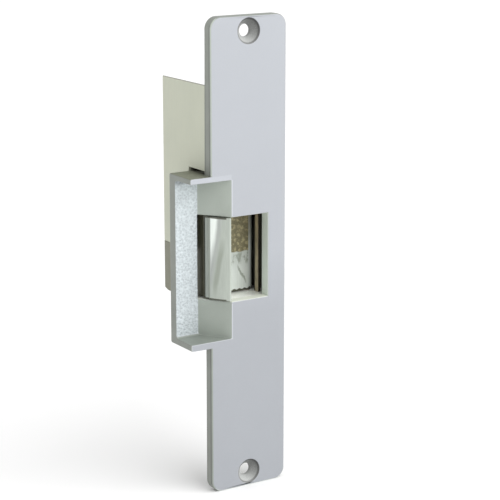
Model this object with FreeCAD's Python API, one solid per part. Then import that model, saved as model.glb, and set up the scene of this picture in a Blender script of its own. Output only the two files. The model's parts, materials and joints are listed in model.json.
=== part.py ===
import FreeCAD, Part
import math
import os

# Electric door strike for a door frame. Millimetres.
# +X is to the right as seen from the room, +Y goes into the frame, +Z is up.
# The origin is the middle of the two fixing screws, on the faceplate's back (seating) face.

# ---- faceplate -------------------------------------------------------------------------------
PLATE_HEIGHT = 201.6
PLATE_WIDTH = 36.5
PLATE_THICKNESS = 4.76
PLATE_CORNER_R = 5.0
PLATE_EDGE_R = 0.7
FIXING_INSET = 6.35
FIXING_HOLE_R = 2.6
COUNTERSINK_R = 5.4
COUNTERSINK_HALF_ANGLE = 41.0

# ---- lip tray, cast in one with the faceplate ------------------------------------------------
LIP_REACH = 9.75
LIP_DEPTH = 12.6
LIP_BACK_WALL = 5.2
LIP_TOP = 36.1
LIP_BOTTOM = -36.6
LIP_TOP_WALL = 2.3
LIP_BOTTOM_WALL = 2.8
LIP_CORNER_R = 1.2
LIP_INNER_R = 1.3
RAMP_FRONT_X = -8.4
RAMP_WALL = 2.8

# ---- keeper window ---------------------------------------------------------------------------
WINDOW_RIGHT = 9.4
WINDOW_TOP = 18.15
WINDOW_BOTTOM = -17.95

# ---- keeper ----------------------------------------------------------------------------------
HINGE_X = 7.0
RIDGE_OUTSET = 0.8
RIDGE_FLAT = 0.7
RIDGE_SETBACK = 0.26
KEEPER_END_GAP = 0.35
JAW_SIDE_GAP = 0.845
POCKET_LEFT_X = -7.4
POCKET_FLOOR_STEP = 0.16
POCKET_CORNER_R = 1.5
LEAD_IN_DEPTH = 2.0
SLAB_THICKNESS = 4.2
JAW_STEP_ANGLE = 16.0
JAW_STEP = 1.5
GROOVE_ANGLE = 21.6
GROOVE_R = 0.35
HUB_WALL = 0.85
KEEPER_SWING = 40.0

# ---- hinge pin, bushes and washers -----------------------------------------------------------
PIN_R = 2.0
PIN_RUNNING_GAP = 0.03
PIN_HEAD_OVERHANG = 1.4
PIN_HEAD = 1.6
PIN_END = 2.6
BUSH_WALL = 1.0
BUSH_LENGTH = 9.0
WASHER_OVERHANG = 2.2
WASHER_GAP = 0.05

# ---- keeper return spring --------------------------------------------------------------------
SPRING_WIRE_R = 0.5
SPRING_PIN_GAP = 0.35
SPRING_ROOM_GAP = 0.4
SPRING_TURNS = 6
SPRING_PITCH = 1.15
SPRING_ROOM_HALF = 4.9
SPRING_KEEPER_LEG = 9.5
SPRING_RIB_WIDTH = 2.5
SPRING_LEG_GAP = 0.15
SPRING_STEPS = 16

# ---- keeper stops ----------------------------------------------------------------------------
HEEL_ANGLE = 30.0
HEEL_R = 7.0
HEEL_WIDTH = 2.4
HEEL_TOP = -10.0
STOP_PIN_R = 1.5
STOP_PIN_RADIUS = 6.6
STOP_GAP = 0.3
BUMPER_WIDTH = 6.0
BUMPER_HEIGHT = 12.0
BUMPER_GAP = 0.5

# ---- locking pin and its catch on the keeper -------------------------------------------------
LOCK_RADIUS = 12.0
LOCK_ANGLE = 120.0
LOCK_PIN_R = 2.0
LOCK_STROKE = 6.0
LOCK_REST_RISE = 0.3
LOCK_GUIDE_GAP = 0.05
LOCK_SIDE_GAP = 0.4
LOCK_BUSH_WALL = 1.2
TAIL_OVERLAP = 1.5

# ---- bearing plates --------------------------------------------------------------------------
LOWER_PLATE = 1.6
UPPER_PLATE = 2.0
FLANGE_LEFT = -5.0
FLANGE_RIGHT = 13.0
FLANGE_REACH = 13.0
TAB_HALF_WIDTH = 12.0
TAB_REACH = 10.0
CAST_CLEARANCE = 0.35

# ---- guard strip beside the latch pocket -----------------------------------------------------
STRIP_GAP = 0.2
STRIP_THICKNESS = 1.0
STRIP_FRONT_Y = 3.1
STRIP_WIDTH = 3.1

# ---- case ------------------------------------------------------------------------------------
CASE_DEPTH = 35.6
CASE_SIDE_GAP = 0.7
CASE_SHEET = 1.2
CASE_HEEL_GAP = 0.5
CASE_TOP = 60.0
CASE_CORNER_CUT = 4.0
CASE_CORNER_RISE = 1.2
COVER_TOP = 73.0
COVER_BOTTOM = 2.0
COVER_END_GAP = 0.1
COVER_FLANGE_TOP = 58.0
COVER_FLANGE_RIGHT = 12.0
COVER_BEND_R = 1.8
NOTCH_GAP = 1.5
RELIEF_Y = 22.5
RELIEF_GAP = 0.5

# ---- solenoid --------------------------------------------------------------------------------
COIL_R = 7.7
COIL_LENGTH = 24.0
BOBBIN_FLANGE = 1.0
BOBBIN_FLANGE_R = 8.0
BOBBIN_TUBE = 0.8
PLUNGER_R = 3.6
PLUNGER_GAP = 0.08
PLUNGER_CLIP_ROOM = 5.1
POLE_LENGTH = 10.8
POLE_NECK_R = 3.0
POLE_BORE_GAP = 0.2
AIR_GAP = 0.3
FRAME_CLIP_GAP = 0.19
FRAME_THICKNESS = 1.6
PIN_SOCKET = 5.0
PLUNGER_SPRING_WIRE_R = 0.3
PLUNGER_SPRING_R = 4.3
PLUNGER_SPRING_TURNS = 4
CLIP_THICKNESS = 0.8
PIN_CLIP_OVERHANG = 1.2
PLUNGER_CLIP_OVERHANG = 1.8
CLIP_GROOVE = 0.5
CLIP_MOUTH = 2.2

# ---- terminal block --------------------------------------------------------------------------
BLOCK_WIDTH = 10.0
BLOCK_GAP = 0.5
BLOCK_HEIGHT = 14.0
BLOCK_FRONT_Y = 1.5
BLOCK_BOTTOM = 40.0
BLOCK_PITCH = 6.0
ENTRY_R = 1.4
TERMINAL_SCREW_R = 1.2
TERMINAL_HEAD_R = 1.9

# ---- machine screws --------------------------------------------------------------------------
SCREW_R = 1.5
SCREW_HOLE_GAP = 0.05
SCREW_HEAD_R = 2.7
SCREW_HEAD = 1.7
SCREW_RECESS_WIDTH = 0.7
SCREW_RECESS_DEPTH = 0.9
SCREW_GRIP = 3.2

# ---- derived places --------------------------------------------------------------------------
FRONT_Y = -PLATE_THICKNESS
FIXING_SPACING = PLATE_HEIGHT - 2 * FIXING_INSET
LIP_LEFT = -PLATE_WIDTH / 2 - LIP_REACH
TRAY_FACE_Y = FRONT_Y + LIP_DEPTH
TRAY_BACK_Y = TRAY_FACE_Y + LIP_BACK_WALL
BUSH_R = PIN_R + BUSH_WALL
SPRING_COIL_R = PIN_R + SPRING_PIN_GAP + SPRING_WIRE_R
SPRING_ROOM_R = SPRING_COIL_R + SPRING_WIRE_R + SPRING_ROOM_GAP
HUB_R = SPRING_ROOM_R + HUB_WALL
POCKET_FLOOR_Y = TRAY_FACE_Y + POCKET_FLOOR_STEP
HINGE_Y = POCKET_FLOOR_Y + HUB_R
RIDGE_X = RAMP_FRONT_X - RIDGE_OUTSET
RIDGE_Y = FRONT_Y + RIDGE_SETBACK
SLAB_BACK_Y = POCKET_FLOOR_Y + SLAB_THICKNESS
KEEPER_R = math.hypot(HINGE_X - RIDGE_X, HINGE_Y - RIDGE_Y)
RAMP_BACK_X = HINGE_X - KEEPER_R - JAW_SIDE_GAP
KEEPER_TOP = WINDOW_TOP - KEEPER_END_GAP
KEEPER_BOTTOM = WINDOW_BOTTOM + KEEPER_END_GAP
UPPER_PLATE_Z = WINDOW_TOP + 0.05
LOWER_PLATE_Z = WINDOW_BOTTOM - 0.05
STRIP_X = WINDOW_RIGHT + STRIP_GAP
CASE_LEFT = RAMP_BACK_X - CASE_SIDE_GAP
CASE_BOTTOM = LOWER_PLATE_Z - LOWER_PLATE
CASE_INSIDE_RIGHT = HINGE_X + HEEL_R + CASE_HEEL_GAP
CASE_INSIDE_BACK = CASE_DEPTH - 2 * CASE_SHEET
CASE_INSIDE_LEFT = CASE_LEFT + 2 * CASE_SHEET
LOCK_X = HINGE_X + LOCK_RADIUS * math.cos(math.radians(LOCK_ANGLE))
LOCK_Y = HINGE_Y + LOCK_RADIUS * math.sin(math.radians(LOCK_ANGLE))
LOCK_BUSH_R = LOCK_PIN_R + LOCK_BUSH_WALL
BLOCK_DEPTH = LOCK_Y - BOBBIN_FLANGE_R - BLOCK_GAP - BLOCK_FRONT_Y
LOCK_REST_TIP = UPPER_PLATE_Z + LOCK_REST_RISE
TAIL_ANGLE = LOCK_ANGLE + KEEPER_SWING / 2
TAIL_R = LOCK_RADIUS + LOCK_PIN_R + TAIL_OVERLAP
TAIL_THICKNESS = 2 * (LOCK_RADIUS * math.sin(math.radians(KEEPER_SWING / 2)) - LOCK_PIN_R - LOCK_SIDE_GAP)
TAIL_BOTTOM = LOCK_REST_TIP - LOCK_STROKE - TAIL_OVERLAP
FRAME_STRAP = 2 * (LOCK_Y - HINGE_Y - PIN_R - PIN_CLIP_OVERHANG - FRAME_CLIP_GAP)
FRAME_BOTTOM = UPPER_PLATE_Z + UPPER_PLATE
BOBBIN_BOTTOM = FRAME_BOTTOM + FRAME_THICKNESS
BOBBIN_TOP = BOBBIN_BOTTOM + COIL_LENGTH
FRAME_TOP = BOBBIN_TOP + FRAME_THICKNESS
POLE_TOP = FRAME_BOTTOM + POLE_LENGTH
PLUNGER_BOTTOM = POLE_TOP + LOCK_STROKE + AIR_GAP
PLUNGER_TOP = FRAME_TOP + LOCK_STROKE + PLUNGER_CLIP_ROOM
CLIP_Z = PLUNGER_TOP - 2 * CLIP_THICKNESS
FLANGE_SCREW_X = (FLANGE_LEFT + 3.5, FLANGE_RIGHT - 3.5)
UPPER_SCREW_Z = UPPER_PLATE_Z + FLANGE_REACH / 2 + 1.5
LOWER_SCREW_Z = LOWER_PLATE_Z - FLANGE_REACH / 2 - 1.5
TAB_SCREW_X = (-TAB_HALF_WIDTH + 3.5, TAB_HALF_WIDTH - 3.5)
UPPER_TAB_SCREW_Z = UPPER_PLATE_Z - TAB_REACH / 2
LOWER_TAB_SCREW_Z = LOWER_PLATE_Z + TAB_REACH / 2


def vec(x, y, z):
    """A point or direction."""
    return FreeCAD.Vector(x, y, z)


def box(x0, x1, y0, y1, z0, z1):
    """A block between two corners."""
    return Part.makeBox(x1 - x0, y1 - y0, z1 - z0, vec(x0, y0, z0))


def rod(radius, start, direction, length):
    """A round bar from a start point."""
    return Part.makeCylinder(radius, length, start, direction)


def prism(points, z0, z1):
    """A plan outline carried from z0 to z1."""
    outline = [vec(x, y, z0) for x, y in points]
    face = Part.Face(Part.makePolygon(outline + outline[:1]))
    return face.extrude(vec(0, 0, z1 - z0))


def polar(radius, angle):
    """A plan point at an angle about the hinge, 0 degrees along +X."""
    turn = math.radians(angle)
    return HINGE_X + radius * math.cos(turn), HINGE_Y + radius * math.sin(turn)


def hinge_arm(inner, outer, width, angle, z0, z1):
    """A straight bar that points away from the hinge at an angle."""
    arm = box(HINGE_X + inner, HINGE_X + outer, HINGE_Y - width / 2, HINGE_Y + width / 2, z0, z1)
    arm.rotate(vec(HINGE_X, HINGE_Y, 0), vec(0, 0, 1), angle)
    return arm


def edges_where(shape, test):
    """The straight edges whose two ends pass a test."""
    chosen = []
    for edge in shape.Edges:
        ends = [vertex.Point for vertex in edge.Vertexes]
        if len(ends) == 2 and isinstance(edge.Curve, Part.Line) and test(ends[0], ends[1]):
            chosen.append(edge)
    return chosen


def upright_edges(shape, x, y):
    """The edges that stand at one plan point."""
    def stands(first, second):
        near = abs(first.x - x) < 1e-3 and abs(first.y - y) < 1e-3
        return near and abs(second.x - x) < 1e-3 and abs(second.y - y) < 1e-3
    return edges_where(shape, stands)


def save(name, shape):
    """Write one node, as a clean solid or a group of separate solids."""
    clean = shape.removeSplitter()
    clean.exportStep("parts/" + name + ".step")
    print(name, len(clean.Solids), round(clean.Volume, 1), clean.isValid())


def pan_screw(seat, direction, length):
    """A cross-recessed pan-head screw: its head stands off the seat, against the direction."""
    axis = vec(*direction)
    origin = vec(*seat)
    shank = rod(SCREW_R, origin, axis, length)
    head = rod(SCREW_HEAD_R, origin - axis * SCREW_HEAD, axis, SCREW_HEAD)
    crown = [edge for edge in head.Edges if (edge.CenterOfMass - origin + axis * SCREW_HEAD).Length < 0.01]
    head = head.makeFillet(SCREW_HEAD * 0.45, crown)
    screw = shank.fuse(head)
    span = SCREW_HEAD_R * 1.2
    recess = box(-span / 2, span / 2, -SCREW_RECESS_WIDTH / 2, SCREW_RECESS_WIDTH / 2, 0, SCREW_RECESS_DEPTH)
    other = recess.copy()
    other.rotate(vec(0, 0, 0), vec(0, 0, 1), 90)
    cross = recess.fuse(other)
    cross.Placement = FreeCAD.Placement(origin - axis * SCREW_HEAD, FreeCAD.Rotation(vec(0, 0, 1), axis))
    return screw.cut(cross)


def screw_hole(seat, direction, length):
    """The clearance or thread hole for a machine screw."""
    return rod(SCREW_R + SCREW_HOLE_GAP, vec(*seat), vec(*direction), length)


def ramp_x(y, offset):
    """The plan X of the ramp's face, moved towards the case by an offset, at a depth y."""
    run = RAMP_FRONT_X - RAMP_BACK_X
    slope = run / LIP_DEPTH
    return RAMP_FRONT_X - slope * (y - FRONT_Y) + offset * math.hypot(1, slope)


def faceplate():
    """Faceplate with its countersunk holes, lip tray, ramp walls and keeper window."""
    half_w = PLATE_WIDTH / 2
    half_h = PLATE_HEIGHT / 2
    plate = box(-half_w, half_w, FRONT_Y, 0, -half_h, half_h)
    corners = edges_where(plate, lambda a, b: abs(a.y - b.y) > 1)
    plate = plate.makeFillet(PLATE_CORNER_R, corners)
    rim = [edge for edge in plate.Edges if abs(edge.BoundBox.YMax - FRONT_Y) < 1e-3]
    plate = plate.makeFillet(PLATE_EDGE_R, rim)
    tray_plan = [(LIP_LEFT, FRONT_Y), (LIP_LEFT, TRAY_BACK_Y), (ramp_x(TRAY_BACK_Y, RAMP_WALL), TRAY_BACK_Y)]
    tray_plan += [(ramp_x(0, RAMP_WALL), 0), (ramp_x(0, RAMP_WALL), FRONT_Y)]
    tray = prism(tray_plan, LIP_BOTTOM, LIP_TOP)
    ends = edges_where(tray, lambda a, b: abs(a.x - LIP_LEFT) < 1e-3 and abs(b.x - LIP_LEFT) < 1e-3
                       and abs(a.y - b.y) > 1)
    tray = tray.makeFillet(LIP_CORNER_R / 2, ends)
    tray = tray.makeFillet(LIP_CORNER_R, upright_edges(tray, LIP_LEFT, TRAY_BACK_Y))
    recess_plan = [(LIP_LEFT - 1, FRONT_Y - 1), (ramp_x(FRONT_Y - 1, 0), FRONT_Y - 1)]
    recess_plan += [(RAMP_BACK_X, TRAY_FACE_Y), (LIP_LEFT - 1, TRAY_FACE_Y)]
    recess = prism(recess_plan, LIP_BOTTOM + LIP_BOTTOM_WALL, LIP_TOP - LIP_TOP_WALL)
    deep = edges_where(recess, lambda a, b: abs(a.y - TRAY_FACE_Y) < 1e-3 and abs(b.y - TRAY_FACE_Y) < 1e-3
                       and abs(a.z - b.z) < 1e-3)
    recess = recess.makeFillet(LIP_INNER_R, deep)
    shape = plate.fuse(tray).cut(recess)
    window = box(RAMP_BACK_X, WINDOW_RIGHT, FRONT_Y - 1, TRAY_BACK_Y + 1, WINDOW_BOTTOM, WINDOW_TOP)
    shape = shape.cut(window)
    cone_depth = (COUNTERSINK_R - FIXING_HOLE_R) / math.tan(math.radians(COUNTERSINK_HALF_ANGLE))
    for side in (-1, 1):
        z = side * FIXING_SPACING / 2
        hole = rod(FIXING_HOLE_R, vec(0, FRONT_Y - 1, z), vec(0, 1, 0), PLATE_THICKNESS + 2)
        cone = Part.makeCone(COUNTERSINK_R, FIXING_HOLE_R, cone_depth, vec(0, FRONT_Y, z), vec(0, 1, 0))
        shape = shape.cut(hole).cut(cone)
    for x in FLANGE_SCREW_X:
        for z in (UPPER_SCREW_Z, LOWER_SCREW_Z):
            shape = shape.cut(screw_hole((x, -SCREW_GRIP - 0.3, z), (0, 1, 0), SCREW_GRIP + 1))
    return shape


def keeper_outline():
    """Closed plan outline of the jaw and the pocket's floor slab, with the jaw's round outer face."""
    start = 180 + math.degrees(math.atan2(HINGE_Y - RIDGE_Y, HINGE_X - RIDGE_X))
    step = 180 + JAW_STEP_ANGLE
    inner_r = KEEPER_R - JAW_STEP
    back = 180 + math.degrees(math.asin((HINGE_Y - SLAB_BACK_Y) / inner_r))

    def arc(radius, first, last):
        middle = (first + last) / 2
        places = [vec(*polar(radius, angle), 0) for angle in (first, middle, last)]
        return Part.Arc(*places).toShape()

    ridge = vec(*polar(KEEPER_R, start), 0)
    flat = vec(RIDGE_X + RIDGE_FLAT, RIDGE_Y, 0)
    lead = vec(POCKET_LEFT_X, RIDGE_Y + LEAD_IN_DEPTH, 0)
    corner = vec(POCKET_LEFT_X, POCKET_FLOOR_Y, 0)
    floor_end = vec(HINGE_X, POCKET_FLOOR_Y, 0)
    slab_end = vec(HINGE_X, SLAB_BACK_Y, 0)
    heel = vec(*polar(inner_r, back), 0)
    step_in = vec(*polar(inner_r, step), 0)
    step_out = vec(*polar(KEEPER_R, step), 0)
    points = [ridge, flat, lead, corner, floor_end, slab_end, heel]
    edges = [Part.makeLine(a, b) for a, b in zip(points, points[1:])]
    edges.append(arc(inner_r, back, step))
    edges.append(Part.makeLine(step_in, step_out))
    edges.append(arc(KEEPER_R, step, start))
    return Part.Wire(edges)


def keeper():
    """Keeper casting: jaw, pocket floor, hub, locking tail, stop heel and spring rib."""
    height = KEEPER_TOP - KEEPER_BOTTOM
    body = Part.Face(keeper_outline()).extrude(vec(0, 0, height))
    body.translate(vec(0, 0, KEEPER_BOTTOM))
    body = body.makeFillet(POCKET_CORNER_R, upright_edges(body, POCKET_LEFT_X, POCKET_FLOOR_Y))
    up = vec(0, 0, 1)
    hub = rod(HUB_R, vec(HINGE_X, HINGE_Y, KEEPER_BOTTOM), up, height)
    tail = hinge_arm(BUSH_R, TAIL_R, TAIL_THICKNESS, TAIL_ANGLE, TAIL_BOTTOM, KEEPER_TOP)
    heel = hinge_arm(BUSH_R, HEEL_R, HEEL_WIDTH, HEEL_ANGLE, KEEPER_BOTTOM, HEEL_TOP)
    rib_x = HINGE_X - SPRING_KEEPER_LEG
    rib_y = HINGE_Y + SPRING_COIL_R - SPRING_WIRE_R - SPRING_LEG_GAP
    rib_z = -SPRING_TURNS * SPRING_PITCH / 2
    rib = box(rib_x, rib_x + SPRING_RIB_WIDTH, SLAB_BACK_Y - 0.5, rib_y, rib_z - 2, rib_z + 2)
    shape = body.fuse([hub, tail, heel, rib])
    shape = shape.cut(rod(BUSH_R, vec(HINGE_X, HINGE_Y, KEEPER_BOTTOM - 1), up, height + 2))
    room = rod(SPRING_ROOM_R, vec(HINGE_X, HINGE_Y, -SPRING_ROOM_HALF), up, 2 * SPRING_ROOM_HALF)
    mouth = box(HINGE_X - HUB_R, HINGE_X + HUB_R + 1, SLAB_BACK_Y, HINGE_Y + HUB_R + 1,
                -SPRING_ROOM_HALF, SPRING_ROOM_HALF)
    shape = shape.cut(room).cut(mouth)
    groove_x, groove_y = polar(KEEPER_R, 180 + GROOVE_ANGLE)
    return shape.cut(rod(GROOVE_R, vec(groove_x, groove_y, KEEPER_BOTTOM - 1), up, height + 2))


def keeper_bushes():
    """Two bronze bushes pressed into the keeper's hub."""
    up = vec(0, 0, 1)
    bushes = []
    for z in (KEEPER_BOTTOM, KEEPER_TOP - BUSH_LENGTH):
        base = vec(HINGE_X, HINGE_Y, z)
        bore = rod(PIN_R + PIN_RUNNING_GAP, base, up, BUSH_LENGTH)
        bushes.append(rod(BUSH_R, base, up, BUSH_LENGTH).cut(bore))
    return Part.Compound(bushes)


def keeper_pin():
    """Headed hinge pin through both bearing plates, with a clip groove at its top."""
    up = vec(0, 0, 1)
    bottom = LOWER_PLATE_Z - LOWER_PLATE
    top = FRAME_BOTTOM + PIN_END
    pin = rod(PIN_R, vec(HINGE_X, HINGE_Y, bottom), up, top - bottom)
    pin = pin.fuse(rod(PIN_R + PIN_HEAD_OVERHANG, vec(HINGE_X, HINGE_Y, bottom - PIN_HEAD), up, PIN_HEAD))
    groove = rod(PIN_R + 1, vec(HINGE_X, HINGE_Y, FRAME_BOTTOM), up, CLIP_THICKNESS)
    groove = groove.cut(rod(PIN_R - CLIP_GROOVE, vec(HINGE_X, HINGE_Y, FRAME_BOTTOM), up, CLIP_THICKNESS))
    return pin.cut(groove)


def retaining_clip(x, y, z, shaft_r, overhang):
    """A retaining clip that fills a shaft's groove, open towards the faceplate."""
    up = vec(0, 0, 1)
    clip = rod(shaft_r + overhang, vec(x, y, z), up, CLIP_THICKNESS)
    clip = clip.cut(rod(shaft_r - CLIP_GROOVE, vec(x, y, z), up, CLIP_THICKNESS))
    mouth = box(x - CLIP_MOUTH / 2, x + CLIP_MOUTH / 2, y - shaft_r - overhang - 1, y, z, z + CLIP_THICKNESS)
    return clip.cut(mouth)


def thrust_washers():
    """Two thin washers between the keeper's hub and the bearing plates."""
    up = vec(0, 0, 1)
    washers = []
    for z0, z1 in ((LOWER_PLATE_Z, KEEPER_BOTTOM - WASHER_GAP), (KEEPER_TOP + WASHER_GAP, UPPER_PLATE_Z)):
        base = vec(HINGE_X, HINGE_Y, z0)
        washer = rod(PIN_R + WASHER_OVERHANG, base, up, z1 - z0)
        washers.append(washer.cut(rod(PIN_R + PIN_RUNNING_GAP, base, up, z1 - z0)))
    return Part.Compound(washers)


def coil(x, y, z, radius, pitch, turns, wire_r):
    """A round-wire helix that starts on the +X side of its axis."""
    path = Part.Wire(Part.makeHelix(pitch, pitch * turns, radius))
    ring = Part.Wire(Part.makeCircle(wire_r, vec(radius, 0, 0), vec(0, 1, 0)))
    spring = path.makePipeShell([ring], True, True)
    spring.translate(vec(x, y, z))
    return spring


def keeper_spring():
    """Torsion spring on the hinge pin: one leg bears on the keeper, the other on the case's back."""
    length = SPRING_TURNS * SPRING_PITCH
    swept = 360 * (SPRING_TURNS - 0.25)
    steps = SPRING_TURNS * SPRING_STEPS
    places = []
    for i in range(steps + 1):
        x, y = polar(SPRING_COIL_R, 90 - swept * i / steps)
        places.append(vec(x, y, length * (i / steps - 0.5)))
    curve = Part.BSplineCurve()
    curve.interpolate(places)
    ring = Part.Wire(Part.makeCircle(SPRING_WIRE_R, places[0], curve.tangent(curve.FirstParameter)[0]))
    body = Part.Wire(curve.toShape()).makePipeShell([ring], True, True)
    wall_leg_length = CASE_INSIDE_BACK - SPRING_LEG_GAP - HINGE_Y
    keeper_leg = rod(SPRING_WIRE_R, places[0], vec(-1, 0, 0), SPRING_KEEPER_LEG)
    wall_leg = rod(SPRING_WIRE_R, places[-1], vec(0, 1, 0), wall_leg_length)
    knuckles = [Part.makeSphere(SPRING_WIRE_R, place) for place in (places[0], places[-1])]
    return body.fuse([keeper_leg, wall_leg] + knuckles)


def plate_plan():
    """Plan outline of a bearing plate, clear of the cast ramp and tray."""
    clear = RAMP_WALL + CAST_CLEARANCE
    turn_y = TRAY_BACK_Y + CAST_CLEARANCE
    right_side = [(ramp_x(0, clear), 0), (CASE_INSIDE_RIGHT, 0), (CASE_INSIDE_RIGHT, CASE_INSIDE_BACK)]
    left_side = [(CASE_INSIDE_LEFT, CASE_INSIDE_BACK), (CASE_INSIDE_LEFT, turn_y)]
    return right_side + left_side + [(ramp_x(turn_y, clear), turn_y)]


def bearing_plate(z0, z1, flange_z, tab_z):
    """A bearing plate with a flange on the faceplate and a tab on the case's back, both bent from it."""
    thickness = z1 - z0
    flange = box(FLANGE_LEFT, FLANGE_RIGHT, 0, thickness, *flange_z)
    tab = box(-TAB_HALF_WIDTH, TAB_HALF_WIDTH, CASE_INSIDE_BACK - thickness, CASE_INSIDE_BACK, *tab_z)
    return prism(plate_plan(), z0, z1).fuse([flange, tab]).removeSplitter()


def lower_bearing_plate():
    """Lower bearing plate: floor of the latch pocket, seat of the hinge pin and the stop pin."""
    z0 = LOWER_PLATE_Z - LOWER_PLATE
    flange_z = (z0 - FLANGE_REACH, z0 + 0.1)
    tab_z = (LOWER_PLATE_Z - 0.1, LOWER_PLATE_Z + TAB_REACH)
    shape = bearing_plate(z0, LOWER_PLATE_Z, flange_z, tab_z)
    up = vec(0, 0, 1)
    shape = shape.cut(rod(PIN_R + PIN_RUNNING_GAP, vec(HINGE_X, HINGE_Y, z0 - 1), up, LOWER_PLATE + 2))
    stop_x, stop_y = stop_pin_place()
    shape = shape.cut(rod(STOP_PIN_R, vec(stop_x, stop_y, z0 - 1), up, LOWER_PLATE + 2))
    for x in FLANGE_SCREW_X:
        shape = shape.cut(screw_hole((x, -1, LOWER_SCREW_Z), (0, 1, 0), LOWER_PLATE + 2))
    tab_y = CASE_INSIDE_BACK - LOWER_PLATE - 1
    for x in TAB_SCREW_X:
        shape = shape.cut(screw_hole((x, tab_y, LOWER_TAB_SCREW_Z), (0, 1, 0), LOWER_PLATE + 2))
    return shape


def upper_bearing_plate():
    """Upper bearing plate: ceiling of the pocket, guide of the locking pin, seat of the solenoid."""
    z1 = UPPER_PLATE_Z + UPPER_PLATE
    flange_z = (z1 - 0.1, z1 + FLANGE_REACH)
    tab_z = (UPPER_PLATE_Z - TAB_REACH, UPPER_PLATE_Z + 0.1)
    shape = bearing_plate(UPPER_PLATE_Z, z1, flange_z, tab_z)
    up = vec(0, 0, 1)
    pin_start = vec(HINGE_X, HINGE_Y, UPPER_PLATE_Z - 1)
    shape = shape.cut(rod(PIN_R + PIN_RUNNING_GAP, pin_start, up, UPPER_PLATE + 2))
    shape = shape.cut(rod(LOCK_BUSH_R, vec(LOCK_X, LOCK_Y, UPPER_PLATE_Z - 1), up, UPPER_PLATE + 2))
    for x in FLANGE_SCREW_X:
        shape = shape.cut(screw_hole((x, -1, UPPER_SCREW_Z), (0, 1, 0), UPPER_PLATE + 2))
    tab_y = CASE_INSIDE_BACK - UPPER_PLATE - 1
    for x in TAB_SCREW_X:
        shape = shape.cut(screw_hole((x, tab_y, UPPER_TAB_SCREW_Z), (0, 1, 0), UPPER_PLATE + 2))
    for x, y in solenoid_screw_places():
        shape = shape.cut(screw_hole((x, y, UPPER_PLATE_Z - 1), (0, 0, 1), UPPER_PLATE + 2))
    return shape


def stop_pin_place():
    """Plan point of the stop pin, just behind the keeper's heel."""
    offset = HEEL_WIDTH / 2 + STOP_PIN_R + STOP_GAP
    return polar(STOP_PIN_RADIUS, HEEL_ANGLE + math.degrees(math.asin(offset / STOP_PIN_RADIUS)))


def stop_pin():
    """Dowel that holds the keeper's heel when the keeper is shut."""
    x, y = stop_pin_place()
    bottom = LOWER_PLATE_Z - LOWER_PLATE
    return rod(STOP_PIN_R, vec(x, y, bottom), vec(0, 0, 1), HEEL_TOP - bottom)


def open_stop_bumper():
    """Rubber pad on the case's back that the keeper meets when it is fully open."""
    rel_x, rel_y = KEEPER_R - JAW_STEP, HINGE_Y - SLAB_BACK_Y
    swing = math.radians(KEEPER_SWING)
    corner_x = HINGE_X - rel_x * math.cos(swing) - rel_y * math.sin(swing)
    corner_y = HINGE_Y + rel_x * math.sin(swing) - rel_y * math.cos(swing)
    pad = box(corner_x - BUMPER_WIDTH / 2, corner_x + BUMPER_WIDTH / 2,
              corner_y + BUMPER_GAP, CASE_INSIDE_BACK, -BUMPER_HEIGHT / 2, BUMPER_HEIGHT / 2)
    front = [edge for edge in pad.Edges if edge.BoundBox.YMax < corner_y + BUMPER_GAP + 0.01]
    return pad.makeFillet(0.8, front)


def guard_strip():
    """Strip between the bearing plates that closes the right side of the latch pocket."""
    return box(STRIP_X, STRIP_X + STRIP_THICKNESS, STRIP_FRONT_Y, STRIP_FRONT_Y + STRIP_WIDTH,
               LOWER_PLATE_Z, UPPER_PLATE_Z)


def tray_notch(x0, x1):
    """Cut that clears the cast tray at the front of a side wall."""
    return box(x0 - 1, x1 + 1, -1, TRAY_BACK_Y + CAST_CLEARANCE, CASE_BOTTOM - 20, LIP_TOP + NOTCH_GAP)


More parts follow.
